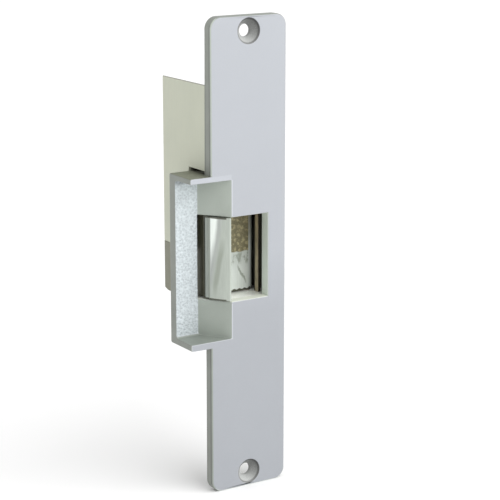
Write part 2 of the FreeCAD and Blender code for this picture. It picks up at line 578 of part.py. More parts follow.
def chassis():
    """Steel channel around the mechanism, two sheets thick below the cover so that both lie flush."""
    outer_left = CASE_LEFT + CASE_SHEET
    outer_right = CASE_INSIDE_RIGHT + CASE_SHEET
    outer_back = CASE_INSIDE_BACK + CASE_SHEET
    shape = box(outer_left, outer_right, 0, outer_back, CASE_BOTTOM, CASE_TOP)
    for x in (outer_left, outer_right):
        shape = shape.makeFillet(CASE_SHEET, upright_edges(shape, x, outer_back))
    doubled = box(CASE_LEFT, outer_right, 0, CASE_DEPTH, CASE_BOTTOM, COVER_BOTTOM - COVER_END_GAP)
    for x in (CASE_LEFT, outer_right):
        doubled = doubled.makeFillet(COVER_BEND_R, upright_edges(doubled, x, CASE_DEPTH))
    shape = shape.fuse(doubled)
    hollow = box(CASE_INSIDE_LEFT, CASE_INSIDE_RIGHT, -1, CASE_INSIDE_BACK, CASE_BOTTOM - 1, CASE_TOP + 1)
    shape = shape.cut(hollow)
    shape = shape.cut(tray_notch(CASE_LEFT, CASE_INSIDE_LEFT))
    relief_half = WINDOW_TOP + RELIEF_GAP
    relief = box(CASE_LEFT - 1, CASE_INSIDE_LEFT + 1, TRAY_BACK_Y, RELIEF_Y, -relief_half, relief_half)
    corner = [(CASE_DEPTH + 1, CASE_BOTTOM - 1), (CASE_DEPTH + 1, CASE_BOTTOM + CASE_CORNER_RISE)]
    corner += [(CASE_DEPTH, CASE_BOTTOM + CASE_CORNER_RISE), (CASE_DEPTH - CASE_CORNER_CUT, CASE_BOTTOM)]
    corner += [(CASE_DEPTH - CASE_CORNER_CUT, CASE_BOTTOM - 1)]
    loop = Part.makePolygon([vec(CASE_LEFT - 1, y, z) for y, z in corner + corner[:1]])
    snip = Part.Face(loop).extrude(vec(2 * CASE_SHEET + 1, 0, 0))
    shape = shape.cut(relief).cut(snip)
    for x in TAB_SCREW_X:
        for z in (LOWER_TAB_SCREW_Z, UPPER_TAB_SCREW_Z):
            shape = shape.cut(screw_hole((x, CASE_INSIDE_BACK - 1, z), (0, 1, 0), 2 * CASE_SHEET + 2))
    block_z = BLOCK_BOTTOM + BLOCK_HEIGHT / 2
    for y in block_screw_places():
        shape = shape.cut(screw_hole((CASE_INSIDE_RIGHT - 1, y, block_z), (1, 0, 0), CASE_SHEET + 2))
    return shape


def side_cover():
    """Flat side cover with a flange folded round the case's back."""
    inner_left = CASE_LEFT + CASE_SHEET
    inner_back = CASE_DEPTH - CASE_SHEET
    side = box(CASE_LEFT, inner_left, 0, CASE_DEPTH, COVER_BOTTOM, COVER_TOP)
    flange = box(CASE_LEFT, COVER_FLANGE_RIGHT, inner_back, CASE_DEPTH, COVER_BOTTOM, COVER_FLANGE_TOP)
    shape = side.fuse(flange).removeSplitter()
    shape = shape.makeFillet(COVER_BEND_R, upright_edges(shape, CASE_LEFT, CASE_DEPTH))
    shape = shape.cut(tray_notch(CASE_LEFT, inner_left))
    for x in TAB_SCREW_X:
        shape = shape.cut(screw_hole((x, inner_back - 1, UPPER_TAB_SCREW_Z), (0, 1, 0), CASE_SHEET + 2))
    return shape


def solenoid_frame():
    """C-shaped steel frame: a foot on the bearing plate, one side and a top leg."""
    y0 = LOCK_Y - FRAME_STRAP / 2
    y1 = LOCK_Y + FRAME_STRAP / 2
    left = LOCK_X - BOBBIN_FLANGE_R - 0.3
    right = LOCK_X + BOBBIN_FLANGE_R
    shape = box(left - FRAME_THICKNESS, right, y0, y1, FRAME_BOTTOM, FRAME_TOP)
    shape = shape.cut(box(left, right + 1, y0 - 1, y1 + 1, BOBBIN_BOTTOM, BOBBIN_TOP))
    up = vec(0, 0, 1)
    shape = shape.cut(rod(POLE_NECK_R, vec(LOCK_X, LOCK_Y, FRAME_BOTTOM - 1), up, FRAME_THICKNESS + 2))
    shape = shape.cut(rod(PLUNGER_R + 0.3, vec(LOCK_X, LOCK_Y, BOBBIN_TOP - 1), up, FRAME_THICKNESS + 2))
    ear = box(left - FRAME_THICKNESS - 4.4, left, y0, y1, FRAME_BOTTOM, BOBBIN_BOTTOM)
    shape = shape.fuse(ear).removeSplitter()
    for x, y in solenoid_screw_places():
        shape = shape.cut(screw_hole((x, y, FRAME_BOTTOM - 1), (0, 0, 1), FRAME_THICKNESS + 2))
    return shape


def solenoid_screw_places():
    """Plan points of the two screws through the solenoid frame's foot."""
    x = LOCK_X - BOBBIN_FLANGE_R - 0.3 - FRAME_THICKNESS - 2.9
    return [(x, LOCK_Y - FRAME_STRAP / 4), (x, LOCK_Y + FRAME_STRAP / 4)]


def solenoid_bobbin():
    """Moulded bobbin with two flanges and a tube that guides the plunger."""
    up = vec(0, 0, 1)
    bore_r = PLUNGER_R + PLUNGER_GAP
    shape = rod(bore_r + BOBBIN_TUBE, vec(LOCK_X, LOCK_Y, BOBBIN_BOTTOM), up, COIL_LENGTH)
    for z in (BOBBIN_BOTTOM, BOBBIN_TOP - BOBBIN_FLANGE):
        shape = shape.fuse(rod(BOBBIN_FLANGE_R, vec(LOCK_X, LOCK_Y, z), up, BOBBIN_FLANGE))
    return shape.cut(rod(bore_r, vec(LOCK_X, LOCK_Y, BOBBIN_BOTTOM - 1), up, COIL_LENGTH + 2))


def solenoid_coil():
    """Copper winding as one solid sleeve between the bobbin's flanges."""
    up = vec(0, 0, 1)
    base = vec(LOCK_X, LOCK_Y, BOBBIN_BOTTOM + BOBBIN_FLANGE)
    length = COIL_LENGTH - 2 * BOBBIN_FLANGE
    return rod(COIL_R, base, up, length).cut(rod(PLUNGER_R + PLUNGER_GAP + BOBBIN_TUBE, base, up, length))


def pole_piece():
    """Fixed pole, riveted into the frame's foot, bored for the locking pin."""
    up = vec(0, 0, 1)
    shape = rod(POLE_NECK_R, vec(LOCK_X, LOCK_Y, FRAME_BOTTOM), up, POLE_LENGTH)
    shape = shape.fuse(rod(PLUNGER_R, vec(LOCK_X, LOCK_Y, BOBBIN_BOTTOM), up, POLE_TOP - BOBBIN_BOTTOM))
    bore_start = vec(LOCK_X, LOCK_Y, FRAME_BOTTOM - 1)
    return shape.cut(rod(LOCK_PIN_R + POLE_BORE_GAP, bore_start, up, POLE_LENGTH + 2))


def plunger():
    """Sliding armature with a socket for the locking pin and a clip groove at its top."""
    up = vec(0, 0, 1)
    shape = rod(PLUNGER_R, vec(LOCK_X, LOCK_Y, PLUNGER_BOTTOM), up, PLUNGER_TOP - PLUNGER_BOTTOM)
    shape = shape.cut(rod(LOCK_PIN_R, vec(LOCK_X, LOCK_Y, PLUNGER_BOTTOM - 1), up, PIN_SOCKET + 1))
    groove = rod(PLUNGER_R + 1, vec(LOCK_X, LOCK_Y, CLIP_Z), up, CLIP_THICKNESS)
    groove = groove.cut(rod(PLUNGER_R - CLIP_GROOVE, vec(LOCK_X, LOCK_Y, CLIP_Z), up, CLIP_THICKNESS))
    return shape.cut(groove)


def locking_pin():
    """Hardened pin that drops beside the keeper's tail when the coil is powered."""
    length = PLUNGER_BOTTOM + PIN_SOCKET - LOCK_REST_TIP
    pin = rod(LOCK_PIN_R, vec(LOCK_X, LOCK_Y, LOCK_REST_TIP), vec(0, 0, 1), length)
    tip = [edge for edge in pin.Edges if edge.BoundBox.ZMax < LOCK_REST_TIP + 0.01]
    return pin.makeChamfer(0.5, tip)


def locking_pin_bush():
    """Guide bush of the locking pin, in the upper bearing plate."""
    up = vec(0, 0, 1)
    base = vec(LOCK_X, LOCK_Y, UPPER_PLATE_Z)
    bore = rod(LOCK_PIN_R + LOCK_GUIDE_GAP, base, up, UPPER_PLATE)
    return rod(LOCK_BUSH_R, base, up, UPPER_PLATE).cut(bore)


def plunger_spring():
    """Compression spring that lifts the plunger when the coil is off."""
    room = CLIP_Z - FRAME_TOP - 2 * PLUNGER_SPRING_WIRE_R
    return coil(LOCK_X, LOCK_Y, FRAME_TOP + PLUNGER_SPRING_WIRE_R, PLUNGER_SPRING_R,
                room / PLUNGER_SPRING_TURNS, PLUNGER_SPRING_TURNS, PLUNGER_SPRING_WIRE_R)


def block_screw_places():
    """Y of the two screws that hold the terminal block."""
    middle = BLOCK_FRONT_Y + BLOCK_DEPTH / 2
    return middle - BLOCK_PITCH / 2, middle + BLOCK_PITCH / 2


def terminal_block():
    """Two-way terminal block on the case's right wall, with wire entries in its top."""
    left = CASE_INSIDE_RIGHT - BLOCK_WIDTH
    top = BLOCK_BOTTOM + BLOCK_HEIGHT
    shape = box(left, CASE_INSIDE_RIGHT, BLOCK_FRONT_Y, BLOCK_FRONT_Y + BLOCK_DEPTH, BLOCK_BOTTOM, top)
    rim = edges_where(shape, lambda a, b: a.x < left + 0.01 and b.x < left + 0.01)
    shape = shape.makeFillet(0.6, rim)
    middle_x = left + BLOCK_WIDTH / 2
    for y in block_screw_places():
        shape = shape.cut(rod(ENTRY_R, vec(middle_x, y, top - 6), vec(0, 0, 1), 7))
        shape = shape.cut(rod(TERMINAL_HEAD_R + 0.1, vec(left - 1, y, top - 4), vec(1, 0, 0), 2))
        shape = shape.cut(rod(TERMINAL_SCREW_R + 0.05, vec(left, y, top - 4), vec(1, 0, 0), BLOCK_WIDTH / 2))
        thread_start = (CASE_INSIDE_RIGHT - SCREW_GRIP - 0.3, y, BLOCK_BOTTOM + BLOCK_HEIGHT / 2)
        shape = shape.cut(screw_hole(thread_start, (1, 0, 0), SCREW_GRIP + 1))
    return shape


def terminal_screws():
    """Two slotted clamping screws in the terminal block."""
    left = CASE_INSIDE_RIGHT - BLOCK_WIDTH
    screws = []
    for y in block_screw_places():
        z = BLOCK_BOTTOM + BLOCK_HEIGHT - 4
        head = rod(TERMINAL_HEAD_R, vec(left - 0.2, y, z), vec(1, 0, 0), 1.2)
        shank = rod(TERMINAL_SCREW_R, vec(left + 0.5, y, z), vec(1, 0, 0), BLOCK_WIDTH / 2 - 2)
        slot = box(left - 1, left + 0.4, y - TERMINAL_HEAD_R, y + TERMINAL_HEAD_R, z - 0.3, z + 0.3)
        screws.append(head.fuse(shank).cut(slot))
    return Part.Compound(screws)


def bracket_screws():
    """Four screws that hold the bearing plates' flanges to the faceplate."""
    screws = []
    for x in FLANGE_SCREW_X:
        screws.append(pan_screw((x, UPPER_PLATE, UPPER_SCREW_Z), (0, -1, 0), UPPER_PLATE + SCREW_GRIP))
        screws.append(pan_screw((x, LOWER_PLATE, LOWER_SCREW_Z), (0, -1, 0), LOWER_PLATE + SCREW_GRIP))
    return Part.Compound(screws)


def case_screws():
    """Two screws through the case's back into the lower bearing plate's tab."""
    length = 2 * CASE_SHEET + LOWER_PLATE
    return Part.Compound([pan_screw((x, CASE_DEPTH, LOWER_TAB_SCREW_Z), (0, -1, 0), length)
                          for x in TAB_SCREW_X])


def cover_screws():
    """Two screws through the cover's flange and the case into the upper bearing plate's tab."""
    length = 2 * CASE_SHEET + UPPER_PLATE
    return Part.Compound([pan_screw((x, CASE_DEPTH, UPPER_TAB_SCREW_Z), (0, -1, 0), length)
                          for x in TAB_SCREW_X])


def terminal_block_screws():
    """Two screws through the case's right wall into the terminal block."""
    seat = CASE_INSIDE_RIGHT + CASE_SHEET
    z = BLOCK_BOTTOM + BLOCK_HEIGHT / 2
    length = CASE_SHEET + SCREW_GRIP
    return Part.Compound([pan_screw((seat, y, z), (-1, 0, 0), length) for y in block_screw_places()])


def solenoid_screws():
    """Two screws through the solenoid frame's foot into the upper bearing plate."""
    return Part.Compound([pan_screw((x, y, BOBBIN_BOTTOM), (0, 0, -1), FRAME_THICKNESS + UPPER_PLATE)
                          for x, y in solenoid_screw_places()])


def main():
    """Build every node and write it."""
    os.makedirs("parts", exist_ok=True)
    makers = [faceplate, lower_bearing_plate, upper_bearing_plate, guard_strip, chassis, side_cover, keeper,
              keeper_pin, keeper_bushes, thrust_washers, keeper_spring, stop_pin, open_stop_bumper,
              solenoid_frame, solenoid_bobbin, solenoid_coil, pole_piece, plunger, locking_pin,
              locking_pin_bush, plunger_spring, terminal_block, terminal_screws, terminal_block_screws,
              bracket_screws, case_screws, cover_screws, solenoid_screws]
    for maker in makers:
        save(maker.__name__, maker())
    save("keeper_pin_clip", retaining_clip(HINGE_X, HINGE_Y, FRAME_BOTTOM, PIN_R, PIN_CLIP_OVERHANG))
    save("plunger_clip", retaining_clip(LOCK_X, LOCK_Y, CLIP_Z, PLUNGER_R, PLUNGER_CLIP_OVERHANG))


main()
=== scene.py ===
"""The looks of an electric door strike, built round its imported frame, in metres unless a name says mm."""
import json
import logging
import math
from dataclasses import dataclass, field
from enum import Enum
from functools import partial
from typing import Callable, ClassVar, Optional, Sequence, Union

import bmesh
import bpy
import numpy as np
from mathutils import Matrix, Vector

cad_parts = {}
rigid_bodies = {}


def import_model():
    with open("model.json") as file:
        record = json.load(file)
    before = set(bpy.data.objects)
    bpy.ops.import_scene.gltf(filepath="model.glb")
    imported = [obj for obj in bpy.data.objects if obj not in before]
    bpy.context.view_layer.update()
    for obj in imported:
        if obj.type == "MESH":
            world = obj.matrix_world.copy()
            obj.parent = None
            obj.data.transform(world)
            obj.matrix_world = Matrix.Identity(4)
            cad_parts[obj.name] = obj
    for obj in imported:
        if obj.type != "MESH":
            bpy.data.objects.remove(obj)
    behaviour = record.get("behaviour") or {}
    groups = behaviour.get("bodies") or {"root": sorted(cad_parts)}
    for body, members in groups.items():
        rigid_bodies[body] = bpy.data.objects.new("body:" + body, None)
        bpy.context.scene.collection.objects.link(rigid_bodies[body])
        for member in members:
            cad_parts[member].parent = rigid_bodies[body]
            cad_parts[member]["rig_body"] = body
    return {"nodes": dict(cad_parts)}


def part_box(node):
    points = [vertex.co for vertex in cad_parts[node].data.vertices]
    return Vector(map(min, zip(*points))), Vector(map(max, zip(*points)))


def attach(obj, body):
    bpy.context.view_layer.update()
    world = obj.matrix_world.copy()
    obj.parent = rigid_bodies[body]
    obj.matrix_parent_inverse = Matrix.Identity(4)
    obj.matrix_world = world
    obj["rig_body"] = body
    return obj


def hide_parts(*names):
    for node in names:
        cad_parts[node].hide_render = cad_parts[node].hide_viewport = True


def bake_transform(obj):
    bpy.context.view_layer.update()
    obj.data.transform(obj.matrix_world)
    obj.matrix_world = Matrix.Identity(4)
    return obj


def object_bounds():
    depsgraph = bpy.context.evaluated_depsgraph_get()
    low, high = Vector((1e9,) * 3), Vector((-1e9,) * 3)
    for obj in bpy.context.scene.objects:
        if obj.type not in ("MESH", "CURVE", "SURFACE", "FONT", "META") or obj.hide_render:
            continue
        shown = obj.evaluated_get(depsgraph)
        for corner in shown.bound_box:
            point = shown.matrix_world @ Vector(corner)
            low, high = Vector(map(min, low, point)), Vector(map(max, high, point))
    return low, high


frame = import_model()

CAD_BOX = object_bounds()
MM = 0.001
LOG = logging.getLogger("door_strike")
Number = Union["Reading", float]
Colour = tuple[float, float, float]
Span = tuple[float, float]
Shade = Union[Colour, bpy.types.NodeSocket]
Surface = tuple[np.ndarray, np.ndarray]
Corners = tuple[tuple[Colour, float], ...]
Across = Optional[tuple[str, str, Vector, Vector]]
Profile = Callable[[float, float], np.ndarray]


# ---- shader maths ----


class Reading:
    """One number that varies over a surface: a shader socket that takes part in Python arithmetic."""

    def __init__(self, graph: "Graph", socket: bpy.types.NodeSocket) -> None:
        """Wrap a socket.

        Args:
            graph: The node graph the socket belongs to.
            socket: The output that carries the number.
        """
        self.graph = graph
        self.socket = socket

    def maths(self, operation: str, *numbers: Number, clamp: bool = False) -> "Reading":
        """Add one Math node.

        Args:
            operation: The Math node's operation.
            numbers: Its inputs, in order.
            clamp: Whether the result is held between 0 and 1.

        Returns:
            The node's result.
        """
        settings = {"operation": operation, "use_clamp": clamp}
        made = self.graph.node("ShaderNodeMath", settings, dict(enumerate(numbers)))
        return Reading(self.graph, made.outputs[0])

    def __add__(self, other: Number) -> "Reading":
        """Sum."""
        return self.maths("ADD", self, other)

    def __radd__(self, other: Number) -> "Reading":
        """Sum, with the number on the left."""
        return self.maths("ADD", other, self)

    def __sub__(self, other: Number) -> "Reading":
        """Difference."""
        return self.maths("SUBTRACT", self, other)

    def __rsub__(self, other: Number) -> "Reading":
        """Difference, with the number on the left."""
        return self.maths("SUBTRACT", other, self)

    def __mul__(self, other: Number) -> "Reading":
        """Product."""
        return self.maths("MULTIPLY", self, other)

    def __rmul__(self, other: Number) -> "Reading":
        """Product, with the number on the left."""
        return self.maths("MULTIPLY", other, self)

    def __truediv__(self, other: Number) -> "Reading":
        """Quotient."""
        return self.maths("DIVIDE", self, other)

    def __rtruediv__(self, other: Number) -> "Reading":
        """Quotient, with the number on the left."""
        return self.maths("DIVIDE", other, self)

    def __pow__(self, other: Number) -> "Reading":
        """Power."""
        return self.maths("POWER", self, other)

    def __neg__(self) -> "Reading":
        """The number with its sign turned."""
        return 0 - self

    def __abs__(self) -> "Reading":
        """Size without its sign."""
        return self.maths("ABSOLUTE", self)

    def wave(self) -> "Reading":
        """Sine of the number, in radians."""
        return self.maths("SINE", self)

    def swing(self, amount: float) -> "Reading":
        """How far the number is from a half, times an amount."""
        return (self - 0.5) * amount

    def between(self, low: float, high: float, soft: float) -> "Reading":
        """A mask that is 1 between two limits and fades over a soft edge outside them."""
        return self.above(low, soft) * self.below(high, soft)

    def above(self, limit: float, soft: float) -> "Reading":
        """A mask that rises from 0 to 1 over a soft edge centred on a limit."""
        return self.maths("ADD", (self - limit) / soft, 0.5, clamp=True)

    def below(self, limit: float, soft: float) -> "Reading":
        """A mask that falls from 1 to 0 over a soft edge centred on a limit."""
        return self.maths("ADD", (limit - self) / soft, 0.5, clamp=True)


class Graph:
    """The node graph of one finish, with its surface place in millimetres."""

    def __init__(self, name: str, metallic: float) -> None:
        """Start a material with its surface shader.

        Args:
            name: The material's name.
            metallic: How far the surface is bare metal, the same all over.
        """
        self.material = bpy.data.materials.new(name)
        self.material.use_nodes = True
        self.tree = self.material.node_tree
        self.tree.nodes.clear()
        self.shader = self.node("ShaderNodeBsdfPrincipled", {}, {"Metallic": metallic})
        self.node("ShaderNodeOutputMaterial", {}, {"Surface": self.shader.outputs["BSDF"]})
        coordinates = self.node("ShaderNodeTexCoord", {}, {}).outputs["Object"]
        scaled = self.node("ShaderNodeVectorMath", {"operation": "SCALE"}, {0: coordinates, "Scale": 1 / MM})
        self.place = scaled.outputs[0]
        split = self.node("ShaderNodeSeparateXYZ", {}, {0: self.place}).outputs
        self.x, self.y, self.z = (Reading(self, socket) for socket in split)
        faces = self.node("ShaderNodeNewGeometry", {}, {}).outputs["True Normal"]
        turned = self.node("ShaderNodeSeparateXYZ", {}, {0: faces}).outputs
        self.face_x, self.face_y, self.face_z = (Reading(self, socket) for socket in turned)

    def node(self, kind: str, settings: dict, sockets: dict) -> bpy.types.Node:
        """Add any node.

        Args:
            kind: The node's type.
            settings: Its properties, set first.
            sockets: Values, readings or sockets for its inputs, by name or number.

        Returns:
            The new node.
        """
        made = self.tree.nodes.new(kind)
        for key, value in settings.items():
            setattr(made, key, value)
        for key, value in sockets.items():
            self.plug(made.inputs[key], value)
        return made

    def plug(self, entry: bpy.types.NodeSocket, value: Union[Number, Shade]) -> None:
        """Give an input a reading, a socket or a constant."""
        source = value.socket if isinstance(value, Reading) else value
        if isinstance(source, bpy.types.NodeSocket):
            self.tree.links.new(entry, source)
        else:
            entry.default_value = source

    def stretched(self, stretch: Colour) -> bpy.types.NodeSocket:
        """The place with each axis scaled, which draws a pattern out along the small ones."""
        settings = {"operation": "MULTIPLY"}
        return self.node("ShaderNodeVectorMath", settings, {0: self.place, 1: stretch}).outputs[0]

    def grain(self, size_mm: float, detail: float = 2.0, rough: float = 0.5,
              stretch: Colour = (1, 1, 1)) -> Reading:
        """Cloudy noise.

        Args:
            size_mm: The size of its blotches.
            detail: How many finer layers it has.
            rough: How strong the finer layers are.
            stretch: Scale of each axis; under 1 draws the blotches out.

        Returns:
            A number about 0.5, between 0 and 1.
        """
        place = self.stretched(stretch)
        sockets = {"Vector": place, "Scale": 1 / size_mm, "Detail": detail, "Roughness": rough}
        return Reading(self, self.node("ShaderNodeTexNoise", {}, sockets).outputs["Fac"])

    def pebbles(self, size_mm: float, smooth: float = 0.3) -> Reading:
        """Distance to the middle of the nearest rounded cell, 0 at its middle."""
        settings = {"feature": "SMOOTH_F1"}
        sockets = {"Vector": self.place, "Scale": 1 / size_mm, "Smoothness": smooth}
        return Reading(self, self.node("ShaderNodeTexVoronoi", settings, sockets).outputs["Distance"])

    def blend(self, mask: Number, below: Shade, above: Shade) -> bpy.types.NodeSocket:
        """Mix two colours.

        Args:
            mask: 0 gives the first, 1 the second.
            below: First colour, as three numbers or a socket.
            above: Second colour, as three numbers or a socket.

        Returns:
            The mixed colour.
        """
        pair = [(*shade, 1.0) if isinstance(shade, tuple) else shade for shade in (below, above)]
        settings = {"data_type": "RGBA", "clamp_factor": True}
        return self.node("ShaderNodeMix", settings, {0: mask, 6: pair[0], 7: pair[1]}).outputs[2]

    def tint(self, colour: Shade, strength: Number) -> bpy.types.NodeSocket:
        """Scale a colour's brightness by a number that varies over the surface."""
        settings = {"operation": "SCALE"}
        return self.node("ShaderNodeVectorMath", settings, {0: colour, "Scale": strength}).outputs[0]

    def colour(self, shade: Shade) -> None:
        """Feed the base colour."""
        self.plug(self.shader.inputs["Base Color"], shade)

    def roughness(self, value: Number) -> None:
        """Feed the roughness."""
        self.plug(self.shader.inputs["Roughness"], value)

    def relief(self, height_mm: Reading, strength: float = 1.0) -> None:
        """Feed the normal from a relief whose height is in millimetres."""
        bump = self.node("ShaderNodeBump", {}, {"Strength": strength, "Distance": MM, "Height": height_mm})
        self.plug(self.shader.inputs["Normal"], bump.outputs["Normal"])


# ---- finishes ----


@dataclass(frozen=True)
class Finish:
    """A finish of one material slot; each kind paints its own colour, roughness and relief."""

    slot: str
    metallic: float = 0.0

    def material(self) -> bpy.types.Material:
        """Make the finish's material."""
        graph = Graph(self.slot, self.metallic)
        self.paint(graph)
        return graph.material

    def paint(self, g: Graph) -> None:
        """Add the finish's own nodes to a graph."""
        raise NotImplementedError


@dataclass(frozen=True)
class CastingPaint(Finish):
    """Silver-grey paint on the plate's front, bare sand-cast metal inside the lip tray, and returns in a
    darker copy of the paint as painted shade; painted highlights, painted shade and painted light from above
    lie over them.
    """

    silver: Colour = (0.400, 0.418, 0.448)
    # The returns' darker, greener copy of the paint, as painted shade.
    edge: Colour = (0.258, 0.275, 0.248)
    bare: Colour = (0.530, 0.580, 0.600)
    shade: Colour = (0.355, 0.392, 0.350)
    roof: Colour = (0.214, 0.225, 0.168)
    # The window's floor, painted much lighter than the paint as painted light.
    sill: Colour = (0.740, 0.765, 0.680)
    # The window's right wall, painted lighter as painted light.
    cheek: Colour = (0.620, 0.675, 0.610)
    cheek_mm: float = 8.9
    bored: Colour = (0.430, 0.440, 0.430)
    fixing_mm: Span = (94.45, 5.5)
    ramp_edge_mm: float = -8.4
    tray_right_mm: float = -17.2
    tray_face_mm: float = 7.84
    front_mm: float = -4.76
    window_mm: float = 18.6
    glint_span_mm: Span = (18.6, 34.0)
    height_mm: float = 201.6
    tray_room_mm: Span = (30.0, 34.6)
    tray_outside_mm: Span = (34.6, 37.5)
    tray_end_mm: Span = (33.8, 36.1)
    shade_from_mm: float = 31.8
    outboard_mm: float = -8.0
    ramp_left_mm: float = -19.5
    plate_edge_mm: Span = (17.9, 18.4)
    side_shade_mm: Span = (-4.1, -3.3)
    back_edge_shade_mm: float = -0.6
    lip_mm: float = 0.75

    def paint(self, g: Graph) -> None:
        """Front, tray floor, ramp, roof, sill and edge each take their own colour by place and facing; the
        sill and the window's right wall are painted lighter as painted light.
        """
        facing_front = (-g.face_y).above(0.85, 0.2)
        at_front = g.y.below(self.front_mm + 0.5, 0.3)
        tray = g.y.above(self.tray_face_mm - 1.6, 0.6) * g.x.below(self.tray_right_mm, 0.2) * facing_front
        ramp = (-g.face_x).between(0.35, 0.95, 0.1) * (-g.face_y).above(0.2, 0.1)
        ramp = ramp * g.x.above(self.ramp_left_mm, 0.4)
        level = abs(g.face_z).above(0.7, 0.2)
        outboard = g.x.below(self.outboard_mm, 0.5) * level
        outside = abs(g.z).between(*self.tray_outside_mm, 0.2) * outboard
        inside = abs(g.z).between(*self.tray_room_mm, 0.2) * outboard
        in_window = abs(g.z).below(self.window_mm, 0.2)
        window_floor = in_window * level
        window_cheek = in_window * g.x.between(self.cheek_mm, self.cheek_mm + 1.0, 0.1)
        window_cheek = window_cheek * (-g.face_x).above(0.7, 0.2)
        speck = g.grain(0.22, 3.0, 0.6)
        cloud = g.grain(9.0, 2.0)
        lumps = g.pebbles(0.95) + g.grain(0.5, 2.0, 0.6) * 0.6
        # Height share; the front, sides, ramp and tray wall grow lighter with it as painted light from above.
        rise = g.z / self.height_mm
        # The front's base brightness, lighter towards the top: painted light from above.
        fade = 0.825 + g.z.above(-12.0, 25.0) * 0.09 + rise * 0.14
        # A painted highlight along the plate's front fillet, strongest low down; it lightens the front and
        # the sides.
        rim = (-g.face_y).between(0.3, 0.93, 0.1) * at_front * (1 - ramp)
        # A painted highlight along the ramp's front edge, beside the window.
        beside = abs(g.z).between(*self.glint_span_mm, 0.3)
        ramp_edge_glint = (g.x - self.ramp_edge_mm).between(-0.2, 0.45, 0.2) * beside
        # A painted highlight on the front of the lip tray's end walls.
        ends = at_front * g.x.below(self.ramp_edge_mm, 0.2) * g.z.between(*self.tray_end_mm, 0.3)
        rim_highlight = rim * (0.3 - rise * 0.7)
        # The front's brightness: painted highlights plus the painted light from above.
        painted_light = ramp_edge_glint * 0.3 + ends * 0.1 + rim_highlight + fade
        front = g.tint(self.silver, painted_light + speck.swing(0.10) + cloud.swing(0.03))
        # Painted shade on the plate's sides: a dark band just behind the front fillet and a dark line at the
        # back edge.
        side_shade_lines = g.y.between(*self.side_shade_mm, 0.3) + g.y.above(self.back_edge_shade_mm, 0.3)
        side_shade_lines = side_shade_lines * g.y.below(0.0, 0.1) * 0.3
        side_shade_lines = side_shade_lines * abs(g.x).between(*self.plate_edge_mm, 0.1)
        side_light_and_shade = rim_highlight * 2 - side_shade_lines
        # The sides take the darker copy of the paint as painted shade, lighter towards the top.
        side = g.tint(self.edge, side_light_and_shade + 0.97 + rise * 0.2 + speck.swing(0.2) + cloud.swing(0.3))
        cast = g.tint(self.bare, 0.64 + lumps * 0.42 + rise * 0.6 - g.z.above(self.shade_from_mm, 1.2) * 0.4)
        # Ramp and tray floor colour; the tray's inner bottom face is made darker as painted shade.
        slope = g.tint(self.shade, 1.0 + rise * 0.5 + speck.swing(0.26) + cloud.swing(0.2) - inside * 0.2)
        roof = g.tint(self.roof, 0.9 + speck.swing(0.2) + cloud.swing(0.5))
        colour = g.blend(facing_front, side, front)
        colour = g.blend(ramp + inside, colour, slope)
        colour = g.blend(outside, colour, roof)
        # The window's floor is painted lighter: painted light on a face in shade.
        colour = g.blend(window_floor, colour, self.sill)
        # The window's right wall, turned away from the light, is painted lighter: painted light.
        colour = g.blend(window_cheek, colour, self.cheek)
        rings = g.pebbles(0.3, 0.1)
        over = abs(g.z) - self.fixing_mm[0]
        reach = (g.x ** 2 + over ** 2) ** 0.5
        bore = reach.below(self.fixing_mm[1], 0.1) * (1 - facing_front.above(0.98, 0.01))
        bore = bore * g.face_y.below(0.5, 0.2)
        # Countersinks: painted light on the lower left and painted shade on the upper right, with a painted
        # dark ring at the outer lip.
        bore_light_side = (g.x * 0.6 + (g.z.above(0.0, 1.0) * 2 - 1) * over * 0.8) / self.fixing_mm[1]
        lip = reach.above(self.fixing_mm[1] - self.lip_mm, 0.3)
        turned = g.tint(self.bored, (0.50 - bore_light_side * 0.45 + rings * 0.35) * (1 - lip * 0.55))
        colour = g.blend(bore, colour, turned)
        g.colour(g.blend(tray, colour, cast))
        g.roughness(0.46 + speck.swing(0.12) - tray * 0.12 + (1 - at_front) * 0.05)
        painted = speck * 0.02 + g.grain(0.8, 3.0) * 0.04 * (1 - at_front)
        g.relief(painted * (1 - tray) + lumps * 0.34 * tray)


